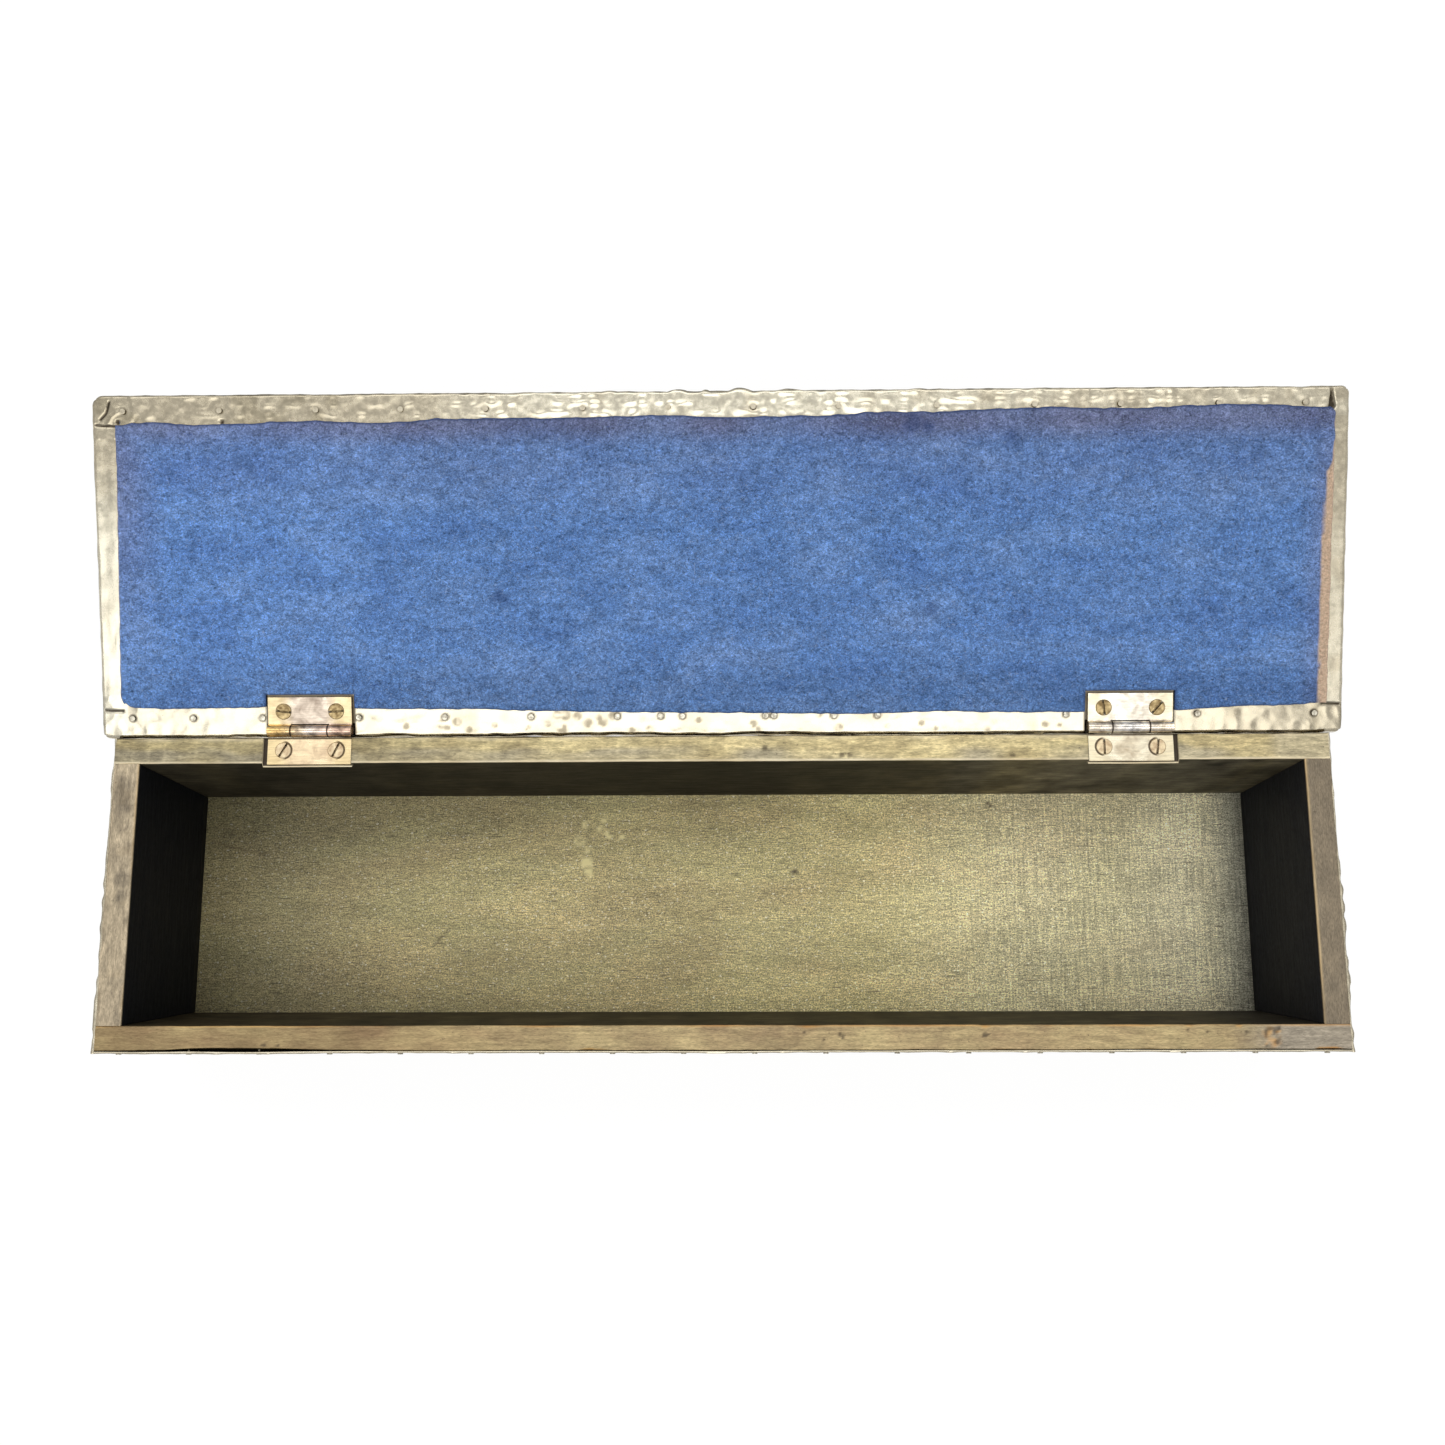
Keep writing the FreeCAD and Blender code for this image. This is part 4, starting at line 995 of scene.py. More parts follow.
def border_depth(x, y):
    """The relief of the folded border: wrinkles, small dents, creases and dimples."""
    u, v, from_rear = lid_margins(x, y)
    in_front = v < BORDER_REACH
    crumple = np.interp(u, (0, 110, 140, 235, 285, LID_LENGTH), (0.45, 0.6, 1.1, 1.1, 0.9, 0.6))
    crumple = np.where(in_front, crumple, np.where(from_rear < BORDER_REACH, 0.45, 0.4))
    folds = 1 - 2 * np.abs(np.where(in_front, noise(x, y, 2.8, 65), noise(x, y, 4.4, 65)))
    waves = 0.12 * noise(x, y, 15, 64) + crumple * (0.14 * folds + 0.06 * noise(x, y, 2.1, 66))
    small_dents = 0.16 * np.clip(hammer_marks(x, y, 3.4, 67) + 0.45, -1, 0)
    calm = 1 - 0.7 * ((u > LID_LENGTH - 12) & (v > BORDER_REACH) & (from_rear > 9))
    relief = np.minimum(calm * waves - 0.27, -0.02) + calm * small_dents
    relief = relief * (1 - 0.8 * creases(u, v, RIDGES, 1.1))
    relief = relief - 0.35 * creases(u, v, SEAMS, 0.55)
    return relief - 0.75 * slit_share(u, v) - 0.4 * spots(u, v, DIMPLES, 0.5)


def bend_lid_edges(points, square, facing):
    """Draw the rear edge in and out in waves, swell it, and set bumps along the front edge."""
    x, y, z = square.T
    u, v, from_rear = lid_margins(x, y)
    below = LID_HIGH[2] - z
    rear_wave = 0.5 * np.clip(noise(x, 0, 11, 68) + 0.35 * noise(x, 0, 4, 69), 0, 1.2)
    points[:, 1] -= rear_wave * np.clip(1 - from_rear / 2.2, 0, 1) * ease(below, 1.0, 5.5)
    height_share = (z - LID_LOW[2]) / (LID_HIGH[2] - LID_LOW[2])
    points[:, 1] += REAR_BULGE * np.clip(facing[:, 1], 0, 1) * np.sin(math.pi * height_share)
    front_wave = 0.22 * np.clip(noise(x, 5, 9, 70) + 0.3 * noise(x, 5, 3, 71), 0, 1.2)
    for place, half_length, height in FRONT_BUMPS:
        front_wave = front_wave - height * np.clip(1 - ((x - place) / half_length) ** 2, 0, 1)
    points[:, 1] += front_wave * np.clip(1 - v / 1.6, 0, 1) * ease(below, 2.5, 6.5)


def cut_recesses(points, square):
    """Lift the sheet round the knuckles out of their way."""
    for side in HINGE_SIDES:
        beside = np.abs(square[:, 0] - HINGE_X[side]) < MORTISE_HALF
        inside = beside & (LID_HIGH[1] - square[:, 1] < RECESS_REACH)
        points[inside, 2] = np.maximum(points[inside, 2], AXIS[2] + RECESS_RISE)


def round_lid_corners(points):
    for (end, edge), radius in LID_CORNER_RADII.items():
        corner_x, inward_x = (LID_LOW[0], 1) if end == "left" else (LID_HIGH[0], -1)
        corner_y, inward_y = (LID_LOW[1], 1) if edge == "front" else (LID_HIGH[1], -1)
        round_corner(points, (corner_x, corner_y), (inward_x, inward_y), radius)


def border_tone(x, y):
    """How bright the border is: rubbed in the middle of the front, where a painted highlight is added too,
    lighter down the left and right flanges, dull at the corners and in spots.
    """
    u, v, from_rear = lid_margins(x, y)
    share = u / LID_LENGTH
    front = np.interp(share, (0, 0.2, 0.36, 0.62, 0.8, 1), (0.20, 0.24, 0.95, 1.0, 0.62, 0.62))
    rear = np.interp(share, (0, 0.1, 0.4, 0.86, 0.9, 1), (0.75, 0.8, 0.8, 0.75, 0.4, 0.3))
    left = np.interp(v, (0, 18, 40, 100), (0.45, 0.5, 1.0, 1.0))
    right = np.interp(v, (0, 30, 100), (0.35, 0.55, 0.8))
    tone = np.where(v < 12, front, rear)
    tone = np.where((u < 8) & (v > 9), left, tone)
    tone = np.where((u > LID_LENGTH - 8) & (v > 9) & (from_rear > 9), right, tone)
    patches = 0.45 * patchy(x, y, 5, 73, -0.15)
    return tone - patches - 0.7 * dull_spots(x, y)


def border_grime_and_shade(x, y):
    """Darkening of the border: painted shade in its creases, open fold and dimples and beside the hinge
    leaves, rings of dirty metal and painted shade round its pins, and dirty dull spots.
    """
    u, v, from_rear = lid_margins(x, y)
    grime_and_shade = 0.95 * np.clip(1.8 * creases(u, v, SEAMS, 0.55), 0, 1)
    for dirt_and_shade in (0.95 * slit_share(u, v), 0.95 * spots(u, v, DIMPLES, 0.5), 0.4 * dull_spots(x, y)):
        grime_and_shade = np.maximum(grime_and_shade, dirt_and_shade)
    for node, darkness in PIN_RINGS.items():
        for pin_x, pin_y, radius in pin_places(node):
            reach = np.hypot(x - pin_x, y - pin_y)
            grime_and_shade = np.maximum(grime_and_shade, darkness * np.clip(1.5 - np.abs(reach - 0.95) / 0.4, 0, 1))
    for side in HINGE_SIDES:
        beside = np.maximum(np.abs(x - HINGE_X[side]) - HINGE_HALF, 0)
        beyond = np.maximum(LEAVES[side][0][1] - y, 0)
        grime_and_shade = np.maximum(grime_and_shade, 0.92 * np.clip(2.5 - np.hypot(beside, beyond) / 0.5, 0, 1))
    return grime_and_shade


def add_lid_shell(material):
    """One sheet over the lid, folded in underneath as a wrinkled border round the felt."""
    square, faces = lid_lattice()
    points, facing = rounded(square, LID_LOW, LID_HIGH, FOLD)
    x, y, z = square.T
    inner = facing[:, 2] < -0.5
    dents = lid_dents(square, facing)
    depth = np.where(inner, border_depth(x, y), DENT_DEPTH * dents)
    points += facing * depth[:, None]
    bend_lid_edges(points, square, facing)
    cut_recesses(points, square)
    round_lid_corners(points)
    faces = without_slivers(points, faces)
    # Tone and darkening hold painted light and shade as well as rubbed and dirty metal.
    attributes = {
        "tone": np.where(inner, border_tone(x, y), outside_tone(x, y, dents, 72)),
        "grime_and_shade": np.where(inner, border_grime_and_shade(x, y), dent_shade_and_patina(dents)),
        "beat": np.where(inner, 0, dents),
    }
    shape = (lid_opened(points), faces)
    return add_piece("lid_shell", shape, material, "lid", ("lid_cladding",), attributes)


def head_places(points, apart):
    """The middles (x, y) and radii of heads that stand in a row, given the points of all of them."""
    order = points[np.argsort(points[:, 0])]
    breaks = np.flatnonzero(np.diff(order[:, 0]) > apart) + 1
    heads = []
    for group in np.split(order, breaks):
        low, high = bounds_of(group)
        heads.append(((low[0] + high[0]) / 2, (low[1] + high[1]) / 2, (high[0] - low[0]) / 2))
    return heads


def pin_places(node):
    """The heads of a lid node's pins, with the lid shut."""
    points = turned(node_points(node), OPEN_ANGLE)
    return head_places(points[points[:, 2] < LID_LOW[2] - 0.2], 1.0)


def add_lid_core(material):
    """The lid's wooden board, seen only in the recesses round the knuckles."""
    inset = 1.3
    low = LID_LOW + inset
    high = LID_HIGH - inset
    low[2] = LID_LOW[2] + 1.1
    steps = (6, 6, 2)
    places = [samples(low[axis], high[axis], steps[axis], (0, 0.5)) for axis in range(3)]
    points, faces = lattice_shell(*places)
    points, facing = rounded(points, low, high, 0.5)
    plain = np.ones(len(points))
    attributes = {"tone": 0.5 * plain, "bare": 0.3 * plain, "weather_and_sheen": 0 * plain, "mark": 0 * plain}
    shape = (lid_opened(points), faces)
    return add_piece("lid_board", shape, material, "lid", ("lid_board",), attributes)


# The felt. Margins are distances in from the lid's edges, at places along them.

FELT_REAR = [
    (-182, 9.4), (-168, 8.8), (-145, 9.0), (-137, 9.2), (-107, 8.5), (-75, 8.3), (-54, 7.6), (-20, 7.0),
    (15, 6.7), (40, 6.2), (67, 7.0), (85, 6.5), (108, 6.5), (139, 7.0), (157, 8.0), (172, 8.3), (182, 9.0),
]
FELT_FRONT = [
    (-182, 9.2), (-173, 8.3), (-157, 9.1), (-136.5, 8.9), (-134.5, 8.3), (-120, 8.2), (-108, 8.9), (-95, 8.8),
    (-84, 7.9), (-68, 7.9), (-50, 8.0), (-15, 7.3), (0, 8.2), (36, 7.7), (44, 7.0), (66, 7.0), (98, 5.9),
    (125, 6.4), (150, 5.4), (168, 5.8), (183, 6.6),
]
FELT_LEFT = [(0, 6.0), (30, 6.4), (60, 7.0), (85, 7.4), (100, 7.2)]
FELT_RIGHT = [(0, 5.0), (20, 4.9), (60, 4.6), (82, 4.3), (100, 4.2)]
FELT_THICKNESS = LID_LOW[2] - FELT_LOW[2]

# The felt before its edges are trimmed: x along the lid, t from the lid's rear edge.
FELT_MEAN = {"rear": 8.0, "front": 7.6, "left": 6.6, "right": 4.7}
FELT_X = (LID_LOW[0] + FELT_MEAN["left"], LID_HIGH[0] - FELT_MEAN["right"])
FELT_T = (FELT_MEAN["rear"], LID_DEPTH - FELT_MEAN["front"])
FELT_FINE = (0, 0.15, 0.35, 0.65, 1.0, 1.5)
TRIM_REACH_X = 20
TRIM_REACH_T = 24

# Notches for the hinge leaves, and what each cuts from the flat felt
NOTCH_GAP = 0.75
NOTCH_HALF = HINGE_HALF + NOTCH_GAP
NOTCH_END = LID_HIGH[1] - LEAVES["left"][0][1] + NOTCH_GAP

# Dark stains on the felt: x, t, radius
FELT_STAINS = [(-65, 42, 1.8), (-66.5, 41.6, 1.3), (64, 38, 1.5), (58, 93, 2.2), (63, 92, 1.4), (88, 88, 2.0)]


def along_curve(places, values):
    at, margin = zip(*places)
    return np.interp(values, at, margin)


def trimmed_felt(base_x, base_t):
    """Where the felt's lattice lies once its edges and notches are cut by hand."""
    rear = along_curve(FELT_REAR, base_x)
    rear = rear + 0.14 * noise(base_x, 0, 2.2, 81) + 0.08 * noise(base_x, 0, 0.9, 82)
    front = along_curve(FELT_FRONT, base_x)
    front = front + 0.22 * noise(base_x, 9, 2.8, 83) + 0.10 * noise(base_x, 9, 0.9, 84)
    for side in HINGE_SIDES:
        rear = np.where(np.abs(base_x - HINGE_X[side]) < NOTCH_HALF, NOTCH_END, rear)
    t = base_t + (rear - FELT_MEAN["rear"]) * np.clip(1 - (base_t - FELT_T[0]) / TRIM_REACH_T, 0, 1)
    t -= (front - FELT_MEAN["front"]) * np.clip(1 - (FELT_T[1] - base_t) / TRIM_REACH_T, 0, 1)
    left = along_curve(FELT_LEFT, base_t) + 0.12 * noise(base_t, 0, 2.5, 85)
    right = along_curve(FELT_RIGHT, base_t) + 0.15 * noise(base_t, 5, 2.5, 86)
    x = base_x + (left - FELT_MEAN["left"]) * np.clip(1 - (base_x - FELT_X[0]) / TRIM_REACH_X, 0, 1)
    x -= (right - FELT_MEAN["right"]) * np.clip(1 - (FELT_X[1] - base_x) / TRIM_REACH_X, 0, 1)
    flat = np.stack([x, t], 1)
    round_corner(flat, (LID_LOW[0] + 6.2, 9.1), (1, 1), 4.2)
    round_corner(flat, (LID_HIGH[0] - 4.2, LID_DEPTH - 6.4), (-1, -1), 2.5)
    return flat.T


def felt_edge(base_x, base_t, x, t):
    """Distance in from the felt's nearest edge or notch."""
    edge = np.minimum(base_t - FELT_T[0], FELT_T[1] - base_t)
    edge = np.minimum(edge, np.minimum(base_x - FELT_X[0], FELT_X[1] - base_x))
    for side in HINGE_SIDES:
        outside_x = np.maximum(np.abs(x - HINGE_X[side]) - NOTCH_HALF, 0)
        outside_t = np.maximum(t - NOTCH_END, 0)
        edge = np.minimum(edge, np.hypot(outside_x, outside_t))
    return edge


def felt_wear(base_x, x, t):
    """1 along the right edge, where the nap has gone."""
    width = np.interp(t, (8, 40, 60, 76, 82, 100), (3.0, 3.3, 3.0, 2.4, 0.8, 0.0))
    width = width + 0.35 * noise(x, t, 2.0, 90) * (width > 0.3)
    return np.clip((width - (FELT_X[1] - base_x)) / 0.35, 0, 1)


def felt_height(x, t, edge, worn):
    """The felt's thickness: rounded at its edges, sunk a little inside the metal border, flat where worn."""
    profile = 0.3 + 0.7 * np.sqrt(1 - (1 - np.clip(edge / 0.9, 0, 1)) ** 2)
    nap = 0.07 * noise(x, t, 1.3, 87) + 0.06 * noise(x, t, 3.1, 88) + 0.05 * noise(x, t, 12, 89)
    inside = np.minimum(np.minimum(t, LID_DEPTH - t), np.minimum(x - LID_LOW[0], LID_HIGH[0] - x))
    well = 0.22 * ease(inside, 11.5, 15)
    return (FELT_THICKNESS - 0.08 + nap - well) * profile * (1 - 0.55 * worn)


def felt_looks(base_x, base_t, x, t, edge, worn):
    """The felt's colour attributes: faded at the front, left and right, dark along its edges (painted shade,
    with some dirty glue), tan where worn.
    """
    fade_front = 0.2 * ease(t, LID_DEPTH - 42, LID_DEPTH - 18)
    fade_front = fade_front + 0.65 * ease(t, LID_DEPTH - 18, LID_DEPTH - 9)
    fade_front = fade_front * (1 + 0.3 * noise(x, t, 18, 91))
    fade_left = 0.75 * ease(LID_LOW[0] + 26 - x, 0, 20) * ease(t, 8, 90)
    fade_right = 0.5 * ease(x - (LID_HIGH[0] - 16), 0, 10)
    stained = 0.5 * spots(x, t, FELT_STAINS, 0.9) * patchy(x, t, 2, 92, 0.7)
    rim_shade = 0.75 * np.clip(1 - edge / 0.5, 0, 1)
    rim_shade = np.maximum(rim_shade, 0.9 * np.clip(1.3 - (FELT_T[1] - base_t) / 0.6, 0, 1))
    red_edge = 0.8 * np.clip(1 - (base_x - FELT_X[0]) / 0.5, 0, 1) * (t > 12) * (t < 78)
    return {
        "fade": np.clip(np.maximum(np.maximum(fade_front, fade_left), fade_right), 0, 1),
        "tone": 1 + 0.16 * ease(-x, 60, 150) - 0.20 * ease(-t, -26, -12) - 0.14 * fade_front,
        "backing": np.maximum(worn, red_edge),
        "mark": np.maximum(stained, rim_shade),
    }


def add_felt(material):
    """The felt lining, cut by hand, with a worn edge on the right and notches for the hinge leaves."""
    ends = [HINGE_X[side] + end * NOTCH_HALF for side in HINGE_SIDES for end in (-1, 1)]
    steps = [end + nudge for end in ends for nudge in (-0.01, 0.01)]
    xs = np.unique(np.concatenate([samples(*FELT_X, 0.9, FELT_FINE), steps]))
    ts = samples(*FELT_T, 0.9, FELT_FINE)
    points, faces = lattice_shell(xs, ts, np.array([0.0, 1.0]))
    base_x, base_t, layer = points.T
    x, t = trimmed_felt(base_x, base_t)
    edge = felt_edge(base_x, base_t, x, t)
    worn = felt_wear(base_x, x, t)
    height = np.where(layer > 0.5, felt_height(x, t, edge, worn), 0.0)
    attributes = felt_looks(base_x, base_t, x, t, edge, worn)
    shape = (lid_opened(np.stack([x, LID_HIGH[1] - t, LID_LOW[2] - height], 1)), faces)
    return add_piece("lid_felt", shape, material, "lid", ("lid_felt",), attributes)


HAIR_COUNT = 1500
HAIR_RADIUS = 0.035
HAIR_RINGS = 5


def add_hairs(material):
    """Loose wool hairs lying in the felt's nap and standing out round its edges."""
    rng = np.random.default_rng(101)
    x_low, x_high = LID_LOW[0] + 8.5, LID_HIGH[0] - 9
    t_low, t_high = 15.0, LID_DEPTH - 10.5
    points, faces, strands = [], [], []
    for index in range(HAIR_COUNT):
        start = np.array([rng.uniform(x_low, x_high), rng.uniform(t_low, t_high)])
        heading = rng.uniform(0, 2 * math.pi)
        bend = rng.normal(0, 0.5)
        length = rng.uniform(1.2, 3.6)
        tint = rng.uniform(0, 1) ** 1.3
        base = len(points)
        spot = start
        for ring in range(HAIR_RINGS):
            share = ring / (HAIR_RINGS - 1)
            angle = heading + bend * share
            direction = np.array([math.cos(angle), math.sin(angle)])
            if ring:
                spot = spot + direction * length / (HAIR_RINGS - 1)
            lift = FELT_THICKNESS - 0.22 + 0.16 * math.sin(math.pi * share)
            aside = np.array([-direction[1], direction[0]])
            for corner in range(3):
                turn = 2 * math.pi * corner / 3
                out = spot + aside * HAIR_RADIUS * math.cos(turn)
                up = lift + HAIR_RADIUS * math.sin(turn)
                points.append((out[0], LID_HIGH[1] - out[1], LID_LOW[2] - up))
                strands.append(tint)
        for ring in range(HAIR_RINGS - 1):
            for corner in range(3):
                following = (corner + 1) % 3
                low = base + ring * 3
                faces.append((low + corner, low + following, low + 3 + following, low + 3 + corner))
    shape = (lid_opened(np.array(points)), np.array(faces))
    return add_piece("felt_hairs", shape, material, "lid", (), {"strand": strands})


def dress_node(node, material, bevel=0.0, segments=2):
    """Keep a solid's own shape, with a material and slightly rounded edges."""
    piece = frame["nodes"][node]
    piece.data.materials.clear()
    piece.data.materials.append(material)
    piece.data.polygons.foreach_set("use_smooth", np.ones(len(piece.data.polygons), bool))
    if bevel:
        modifier = piece.modifiers.new("rounded_edges", "BEVEL")
        modifier.width = bevel * MM
        modifier.segments = segments
        modifier.limit_method = "ANGLE"
        modifier.angle_limit = math.radians(40)
        modifier.harden_normals = True


# The box

# For each board: grain axis, tan, raw, black, weathered, streaks, mottling
WOODS = {
    "front": (
        0, ((0.36, 0.255, 0.130), (0.56, 0.44, 0.215)), ((0.62, 0.30, 0.085), (0.82, 0.50, 0.17)),
        (0.009, 0.008, 0.006), (0.37, 0.315, 0.235), 0.20, 0.16,
    ),
    "back": (
        0, ((0.48, 0.38, 0.185), (0.84, 0.70, 0.36)), ((0.90, 0.74, 0.46), (0.96, 0.86, 0.62)),
        (0.009, 0.008, 0.006), (0.47, 0.41, 0.275), 0.20, 0.36,
    ),
    "left": (
        1, ((0.36, 0.285, 0.185), (0.57, 0.46, 0.30)), ((0.50, 0.34, 0.16), (0.70, 0.53, 0.30)),
        (0.0065, 0.007, 0.0090), (0.39, 0.325, 0.230), 0.14, 0.36,
    ),
    "right": (
        1, ((0.35, 0.275, 0.175), (0.54, 0.43, 0.28)), ((0.50, 0.34, 0.16), (0.70, 0.53, 0.30)),
        (0.0105, 0.0115, 0.0155), (0.355, 0.280, 0.180), 0.06, 0.12,
    ),
}
woods = {side: wood_material(f"{side}_board_wood", *looks) for side, looks in WOODS.items()}
floor_wood = floor_material()
pewter = pewter_material()

# Chips on the boards' edges: place along the board, half length, depth and edge.
# Marks and knots on their tops: place along and across the board, and radius.
FRONT_CHIPS = [(-36, 11, 0.22, "inner"), (26.8, 5.2, 0.55, "inner"), (77.3, 1.8, 0.6, "inner"),
               (99, 7.5, 0.3, "inner"), (136.7, 1.9, 0.5, "inner"), (150.8, 1.4, 0.5, "inner"),
               (-36.4, 4.8, 0.6, "outer"), (177.2, 4.6, 0.9, "outer"), (-95, 12, 0.12, "inner")]
BACK_CHIPS = [(-10, 30, 0.15, "inner"), (60, 20, 0.15, "inner"), (168, 4, 0.3, "inner")]
LEFT_CHIPS = [(-30, 8, 0.2, "inner"), (20, 12, 0.25, "inner")]
RIGHT_CHIPS = [(0, 30, 0.25, "inner"), (-30, 6, 0.4, "inner")]
FRONT_MARKS = [(77.2, 4.8, 0.6), (78.2, 4.9, 0.35), (35.2, 5.0, 0.5), (36.0, 4.3, 0.5), (25, 5.6, 0.4),
               (30.5, 3.4, 0.35), (153, 5.5, 0.5), (136, 6.2, 0.4), (141.7, 5.4, 0.3), (-133, 2.0, 0.6),
               (-129, 1.8, 0.5)]
FRONT_KNOT = [(159.4, 1.4, 1.1), (160.6, 3.2, 1.5), (159.8, 5.2, 1.5), (161.4, 6.6, 1.1)]
BACK_MARKS = [(14, 3.6, 0.7), (37, 5.9, 0.7), (39.4, 6.0, 0.6), (88.5, 6.2, 0.5)]
LEFT_SMUDGES = [(33, 3.6, 2.0), (29, 3.2, 2.2), (25.5, 3.8, 1.6), (4, 5.2, 1.8), (-1, 5.4, 1.5)]
PLANE_PITCH = 4.6


def front_looks(along, across):
    tone = np.interp(along, (-183, -110, -40, 0, 120, 183), (0.57, 0.60, 0.86, 0.96, 0.95, 0.84))
    weather_and_sheen = ease(along, 146, 166)
    crumbs = patchy(along, across, 1.1, 16, 0.5)
    bare = np.maximum(0.12 * ease(-along, 20, 110), 0.75 * spots(along, across, FRONT_KNOT, 0.7) * crumbs)
    knotty = spots(along, across, FRONT_KNOT, 0.5) * np.clip(-1.6 * noise(along, across, 1.3, 17), 0, 1)
    mark = np.maximum(0.75 * spots(along, across, FRONT_MARKS), 0.8 * knotty)
    return tone, weather_and_sheen, bare, mark


def back_looks(along, across):
    tone = np.interp(along, (-183, -100, 0, 70, 183), (0.66, 0.72, 0.82, 0.94, 1.0))
    ridge = np.abs((along + 0.5 * noise(along, 0, 12, 26)) / PLANE_PITCH % 1 - 0.5)
    planed = (1 - ease(ridge, 0.02, 0.16)) * patchy(along, across, 8, 27, 0.7)
    tone = tone + 0.16 * planed - 0.03
    lower_half = ease(across + 1.2 * noise(along, across, 6, 28), 2.8, 5.0)
    weather_and_sheen = 0.85 * lower_half * patchy(along, across, 13, 29, 0.55)
    weather_and_sheen = np.maximum(weather_and_sheen, 0.7 * ease(along, 163, 169))
    golden = ease(along, 148, 156) - ease(along, 162, 167)
    weather_and_sheen = weather_and_sheen * (1 - 0.8 * golden * (across < WALL_THICKNESS - 0.3))
    upper_edge = 0.35 * ease(-across, -1.6, -0.3) * patchy(along, 2, 9, 30, 0.4)
    return tone, weather_and_sheen, upper_edge, 0.75 * spots(along, across, BACK_MARKS)


def left_looks(along, across):
    smudged = spots(along, across, LEFT_SMUDGES, 0.9) * patchy(along, across, 2.4, 33, 0.75)
    return 0.96 - 0.42 * smudged, 0.35, 0.25 * patchy(along, across, 3, 34, -0.45), 0.0


def right_looks(along, across):
    scratches = patchy(along * 0.6 + across, across - 0.6 * along, 0.9, 39, -0.55)
    return 0.60 + 0.3 * scratches, 0.8, 0.0, 0.0


def nothing(along, drop=0.0):
    """No gap, bulge, lip or darkening."""
    return np.zeros_like(along)


def front_swell(along):
    """Where the front sheet has come away from the wood, near the left end."""
    return np.exp(-((along + 140) / 24) ** 2)


def front_gap(along):
    return 0.55 + 0.75 * front_swell(along) + 0.15 * np.clip(noise(along, 3, 15, 18), 0, 1)


def front_stain(along):
    return np.full_like(along, 0.08)


def back_stain(along):
    places = (-183, -150, -60, 0, 60, 100, 183)
    return np.interp(along, places, (0.10, 0.045, 0.035, 0.012, 0.05, 0.19, 0.16))


add_long_wall("front_wall", -1, woods["front"], 11, FRONT_CHIPS, 0.35, front_looks, front_stain, front_gap)
add_long_wall(
    "back_wall", 1, woods["back"], 21, BACK_CHIPS, 0.95, back_looks, back_stain, nothing, mortised=True
)
add_end_wall("left", woods["left"], 31, LEFT_CHIPS, 0.45, left_looks, 0.0)
add_end_wall("right", woods["right"], 36, RIGHT_CHIPS, 0.85, right_looks, 0.008)
add_floor(floor_wood)

FRONT_ROOM = box_of("front_cladding")[0][1] - cad_bounds[0][1] / MM


def front_bulge(along, drop):
    swell = 0.7 * front_swell(along) + 0.4 * np.clip(noise(along, 0, 24, 51), 0, 1)
    return FRONT_ROOM * np.clip(swell, 0, 1) * np.exp(-drop / 14)


def front_lip(along, drop):
    shut = 0.85 - 0.45 * front_swell(along)
    return shut * front_gap(along) * np.exp(-drop / 1.5)


def end_bulge(seed, height):
    """An end sheet's top edge, standing off the wood in short waves."""
    def bulge(along, drop):
        waves = 0.8 * noise(along, 0, 9, seed) + 0.6 * noise(along, 0, 2.6, seed + 9) + 0.25
        return height * np.clip(waves, 0, 1) * np.exp(-drop / 12)
    return bulge


def end_lip(bulge):
    """The edge turned in over the wood, so that no gap shows."""
    return lambda along, drop: bulge(along, drop) + 0.35 * np.exp(-drop / 1.2)


# Painted shadow in patches along the back sheet's top edge, in the gap under the lid's rear edge.
def top_edge_shadow(along, drop):
    return np.clip(1.8 * noise(along, 2, 7, 58) - 0.4, 0, 0.9) * (1 - ease(drop, 0.8, 3))


left_bulge = end_bulge(56, 0.6)
right_bulge = end_bulge(57, 0.7)
add_sheet("front_cladding", 1, -1, pewter, 52, front_bulge, front_lip, nothing)
add_sheet("back_cladding", 1, 1, pewter, 53, nothing, nothing, top_edge_shadow)
add_sheet("left_cladding", 0, -1, pewter, 54, left_bulge, end_lip(left_bulge), nothing)
add_sheet("right_cladding", 0, 1, pewter, 55, right_bulge, end_lip(right_bulge), nothing)

# The lid and its lining
add_lid_core(woods["left"])
add_lid_shell(pewter)
felt = add_felt(felt_material())
hairs = add_hairs(fibre_material())

# Hinges, screws, nails and pins
LEAF_COLOURS = {
    "left_hinge_lid_leaf": ((0.36, 0.285, 0.225), (0.62, 0.53, 0.43)),
    "left_hinge_body_leaf": ((0.54, 0.39, 0.255), (0.92, 0.74, 0.48)),
    "right_hinge_lid_leaf": ((0.58, 0.51, 0.41), (0.88, 0.84, 0.73)),
    "right_hinge_body_leaf": ((0.52, 0.43, 0.30), (0.88, 0.80, 0.61)),
}
LEAF_ENDS = {"left": (0.80, 0.64, 0.34), "right": (0.86, 0.76, 0.52)}
KNUCKLE_COLOURS = {
    "left": ((0.95, 0.64, 0.26), (0.86, 0.74, 0.64), (0.84, 0.58, 0.44)),
    "right": ((0.98, 0.86, 0.70), (0.92, 0.88, 0.84), (0.98, 0.84, 0.66)),
}
ARC_SIDES = {"left": 1, "right": -1}
body_screws = head_places(node_points("hinge_body_screws"), 0.8)
screw_brass = metal_material("screw_brass", (0.20, 0.135, 0.06), (0.50, 0.385, 0.20), 1.6)
pale_brass = metal_material("pale_screw_brass", (0.50, 0.36, 0.22), (0.82, 0.68, 0.44), 1.6)
wire = metal_material("pin_wire", (0.30, 0.27, 0.21), (0.72, 0.68, 0.56), 0.9)
dull_wire = metal_material(
    "dull_pin_wire", (0.44, 0.39, 0.29), (0.64, 0.58, 0.45), 0.9, dirt_and_shade=(0.20, 0.165, 0.115)
)
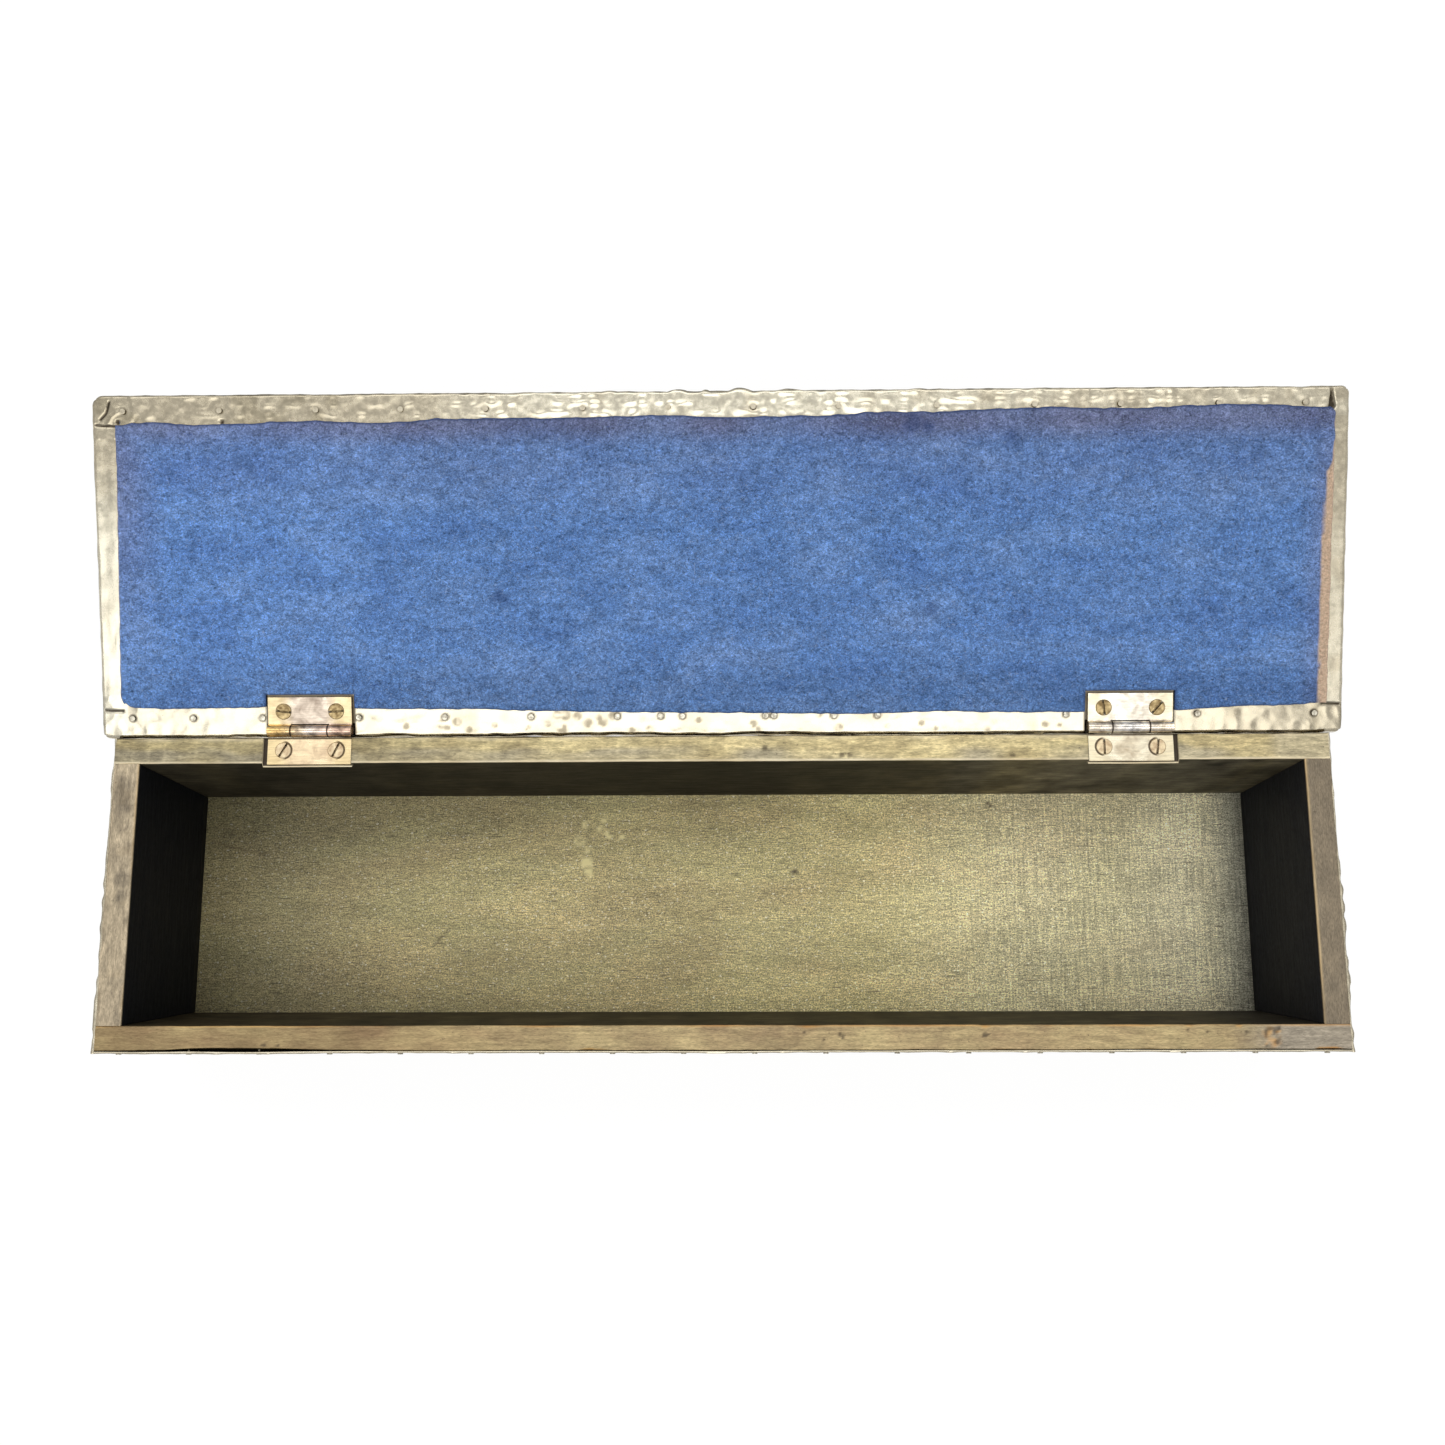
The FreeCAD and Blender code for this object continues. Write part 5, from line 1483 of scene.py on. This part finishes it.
for side in HINGE_SIDES:
    for leaf in ("body_leaf", "lid_leaf"):
        node = f"{side}_hinge_{leaf}"
        arcs = ()
        if leaf == "body_leaf":
            screws = [screw for screw in body_screws if screw[0] * HINGE_X[side] > 0]
            arcs = [(x, y, radius + 0.2, ARC_SIDES[side]) for x, y, radius in screws]
        brass = brass_material(
            f"{node}_brass", side, LEAF_COLOURS[node], LEAF_ENDS[side], KNUCKLE_COLOURS[side], arcs
        )
        dress_node(node, brass, 0.15)
    dress_node(f"{side}_hinge_pin", screw_brass)
dress_node("hinge_lid_screws", screw_brass, 0.08)
dress_node("hinge_body_screws", pale_brass, 0.08)
for node in ("corner_nails", "floor_nails"):
    dress_node(node, wire, 0.1)
for node in ("body_top_pins", "body_base_pins", "lid_rear_pins"):
    dress_node(node, wire, 0.26, 3)
dress_node("lid_front_pins", dull_wire, 0.26, 3)


# The stage: a white floor, a plain dome of light and two soft lamps overhead, the weaker one at the rear

def scaled(tree, socket, low, high, start=0.0, end=1.0):
    node = tree.nodes.new("ShaderNodeMapRange")
    for name, value in (("From Min", start), ("From Max", end), ("To Min", low), ("To Max", high)):
        node.inputs[name].default_value = value
    tree.links.new(socket, node.inputs["Value"])
    return node.outputs["Result"]


def add_stage():
    """A white floor that takes the box's shadow, and that metal reflects as white."""
    half = 3000.0
    corners = np.array([(-half, -half, -0.2), (half, -half, -0.2), (half, half, -0.2), (-half, half, -0.2)])
    material = bpy.data.materials.new("white_floor")
    material.use_nodes = True
    tree = material.node_tree
    tree.nodes.clear()
    output = tree.nodes.new("ShaderNodeOutputMaterial")
    blend = tree.nodes.new("ShaderNodeMixShader")
    paper = tree.nodes.new("ShaderNodeBsdfDiffuse")
    paper.inputs["Color"].default_value = (0.85, 0.85, 0.85, 1)
    glow = tree.nodes.new("ShaderNodeEmission")
    glow.inputs["Strength"].default_value = 1.06
    path = tree.nodes.new("ShaderNodeLightPath").outputs
    seen = path["Is Camera Ray"]
    for ray in ("Is Glossy Ray", "Is Transmission Ray"):
        either = tree.nodes.new("ShaderNodeMath")
        either.operation = "MAXIMUM"
        tree.links.new(seen, either.inputs[0])
        tree.links.new(path[ray], either.inputs[1])
        seen = either.outputs[0]
    tree.links.new(scaled(tree, seen, 0.0, 0.85), blend.inputs["Fac"])
    tree.links.new(paper.outputs[0], blend.inputs[1])
    tree.links.new(glow.outputs[0], blend.inputs[2])
    tree.links.new(blend.outputs[0], output.inputs["Surface"])
    ground = mesh_object("ground", corners, np.array([[0, 1, 2, 3]]), material)


def light_world(horizon, zenith):
    """A dome of light, dimmer at the horizon than overhead."""
    world = bpy.data.worlds.new("surround")
    bpy.context.scene.world = world
    world.use_nodes = True
    tree = world.node_tree
    direction = tree.nodes.new("ShaderNodeTexCoord").outputs["Generated"]
    split = tree.nodes.new("ShaderNodeSeparateXYZ")
    tree.links.new(direction, split.inputs[0])
    dome = tree.nodes["Background"]
    dome.inputs["Color"].default_value = (1, 1, 1, 1)
    tree.links.new(scaled(tree, split.outputs["Z"], horizon, zenith), dome.inputs["Strength"])


def add_lamp(name, place, target, size_m, watts):
    lamp = bpy.data.lights.new(name, "AREA")
    lamp.shape = "RECTANGLE"
    lamp.size, lamp.size_y = size_m
    lamp.energy = watts
    holder = bpy.data.objects.new(name, lamp)
    bpy.context.scene.collection.objects.link(holder)
    holder.location = place
    holder.rotation_euler = (Vector(target) - Vector(place)).to_track_quat("-Z", "Y").to_euler()


def add_camera():
    camera = bpy.data.cameras.new("camera")
    camera.sensor_width = 36
    camera.lens = 35.92
    camera.clip_start = 0.01
    holder = bpy.data.objects.new("camera", camera)
    bpy.context.scene.collection.objects.link(holder)
    holder.location = (0.00772, -0.02697, 0.49513)
    holder.rotation_euler = [math.radians(angle) for angle in (10.259, 0.888, -0.123)]
    bpy.context.scene.camera = holder


add_stage()
light_world(0.5, 0.74)
add_lamp("front_softbox", (-0.08, -0.47, 1.3), (-0.08, 0.02, 0.05), (1.55, 0.62), 4.9)
add_lamp("rear_softbox", (-0.05, 0.52, 1.25), (-0.05, 0.05, 0.05), (1.5, 0.5), 3.2)
add_camera()
bpy.context.scene.view_settings.view_transform = "Standard"
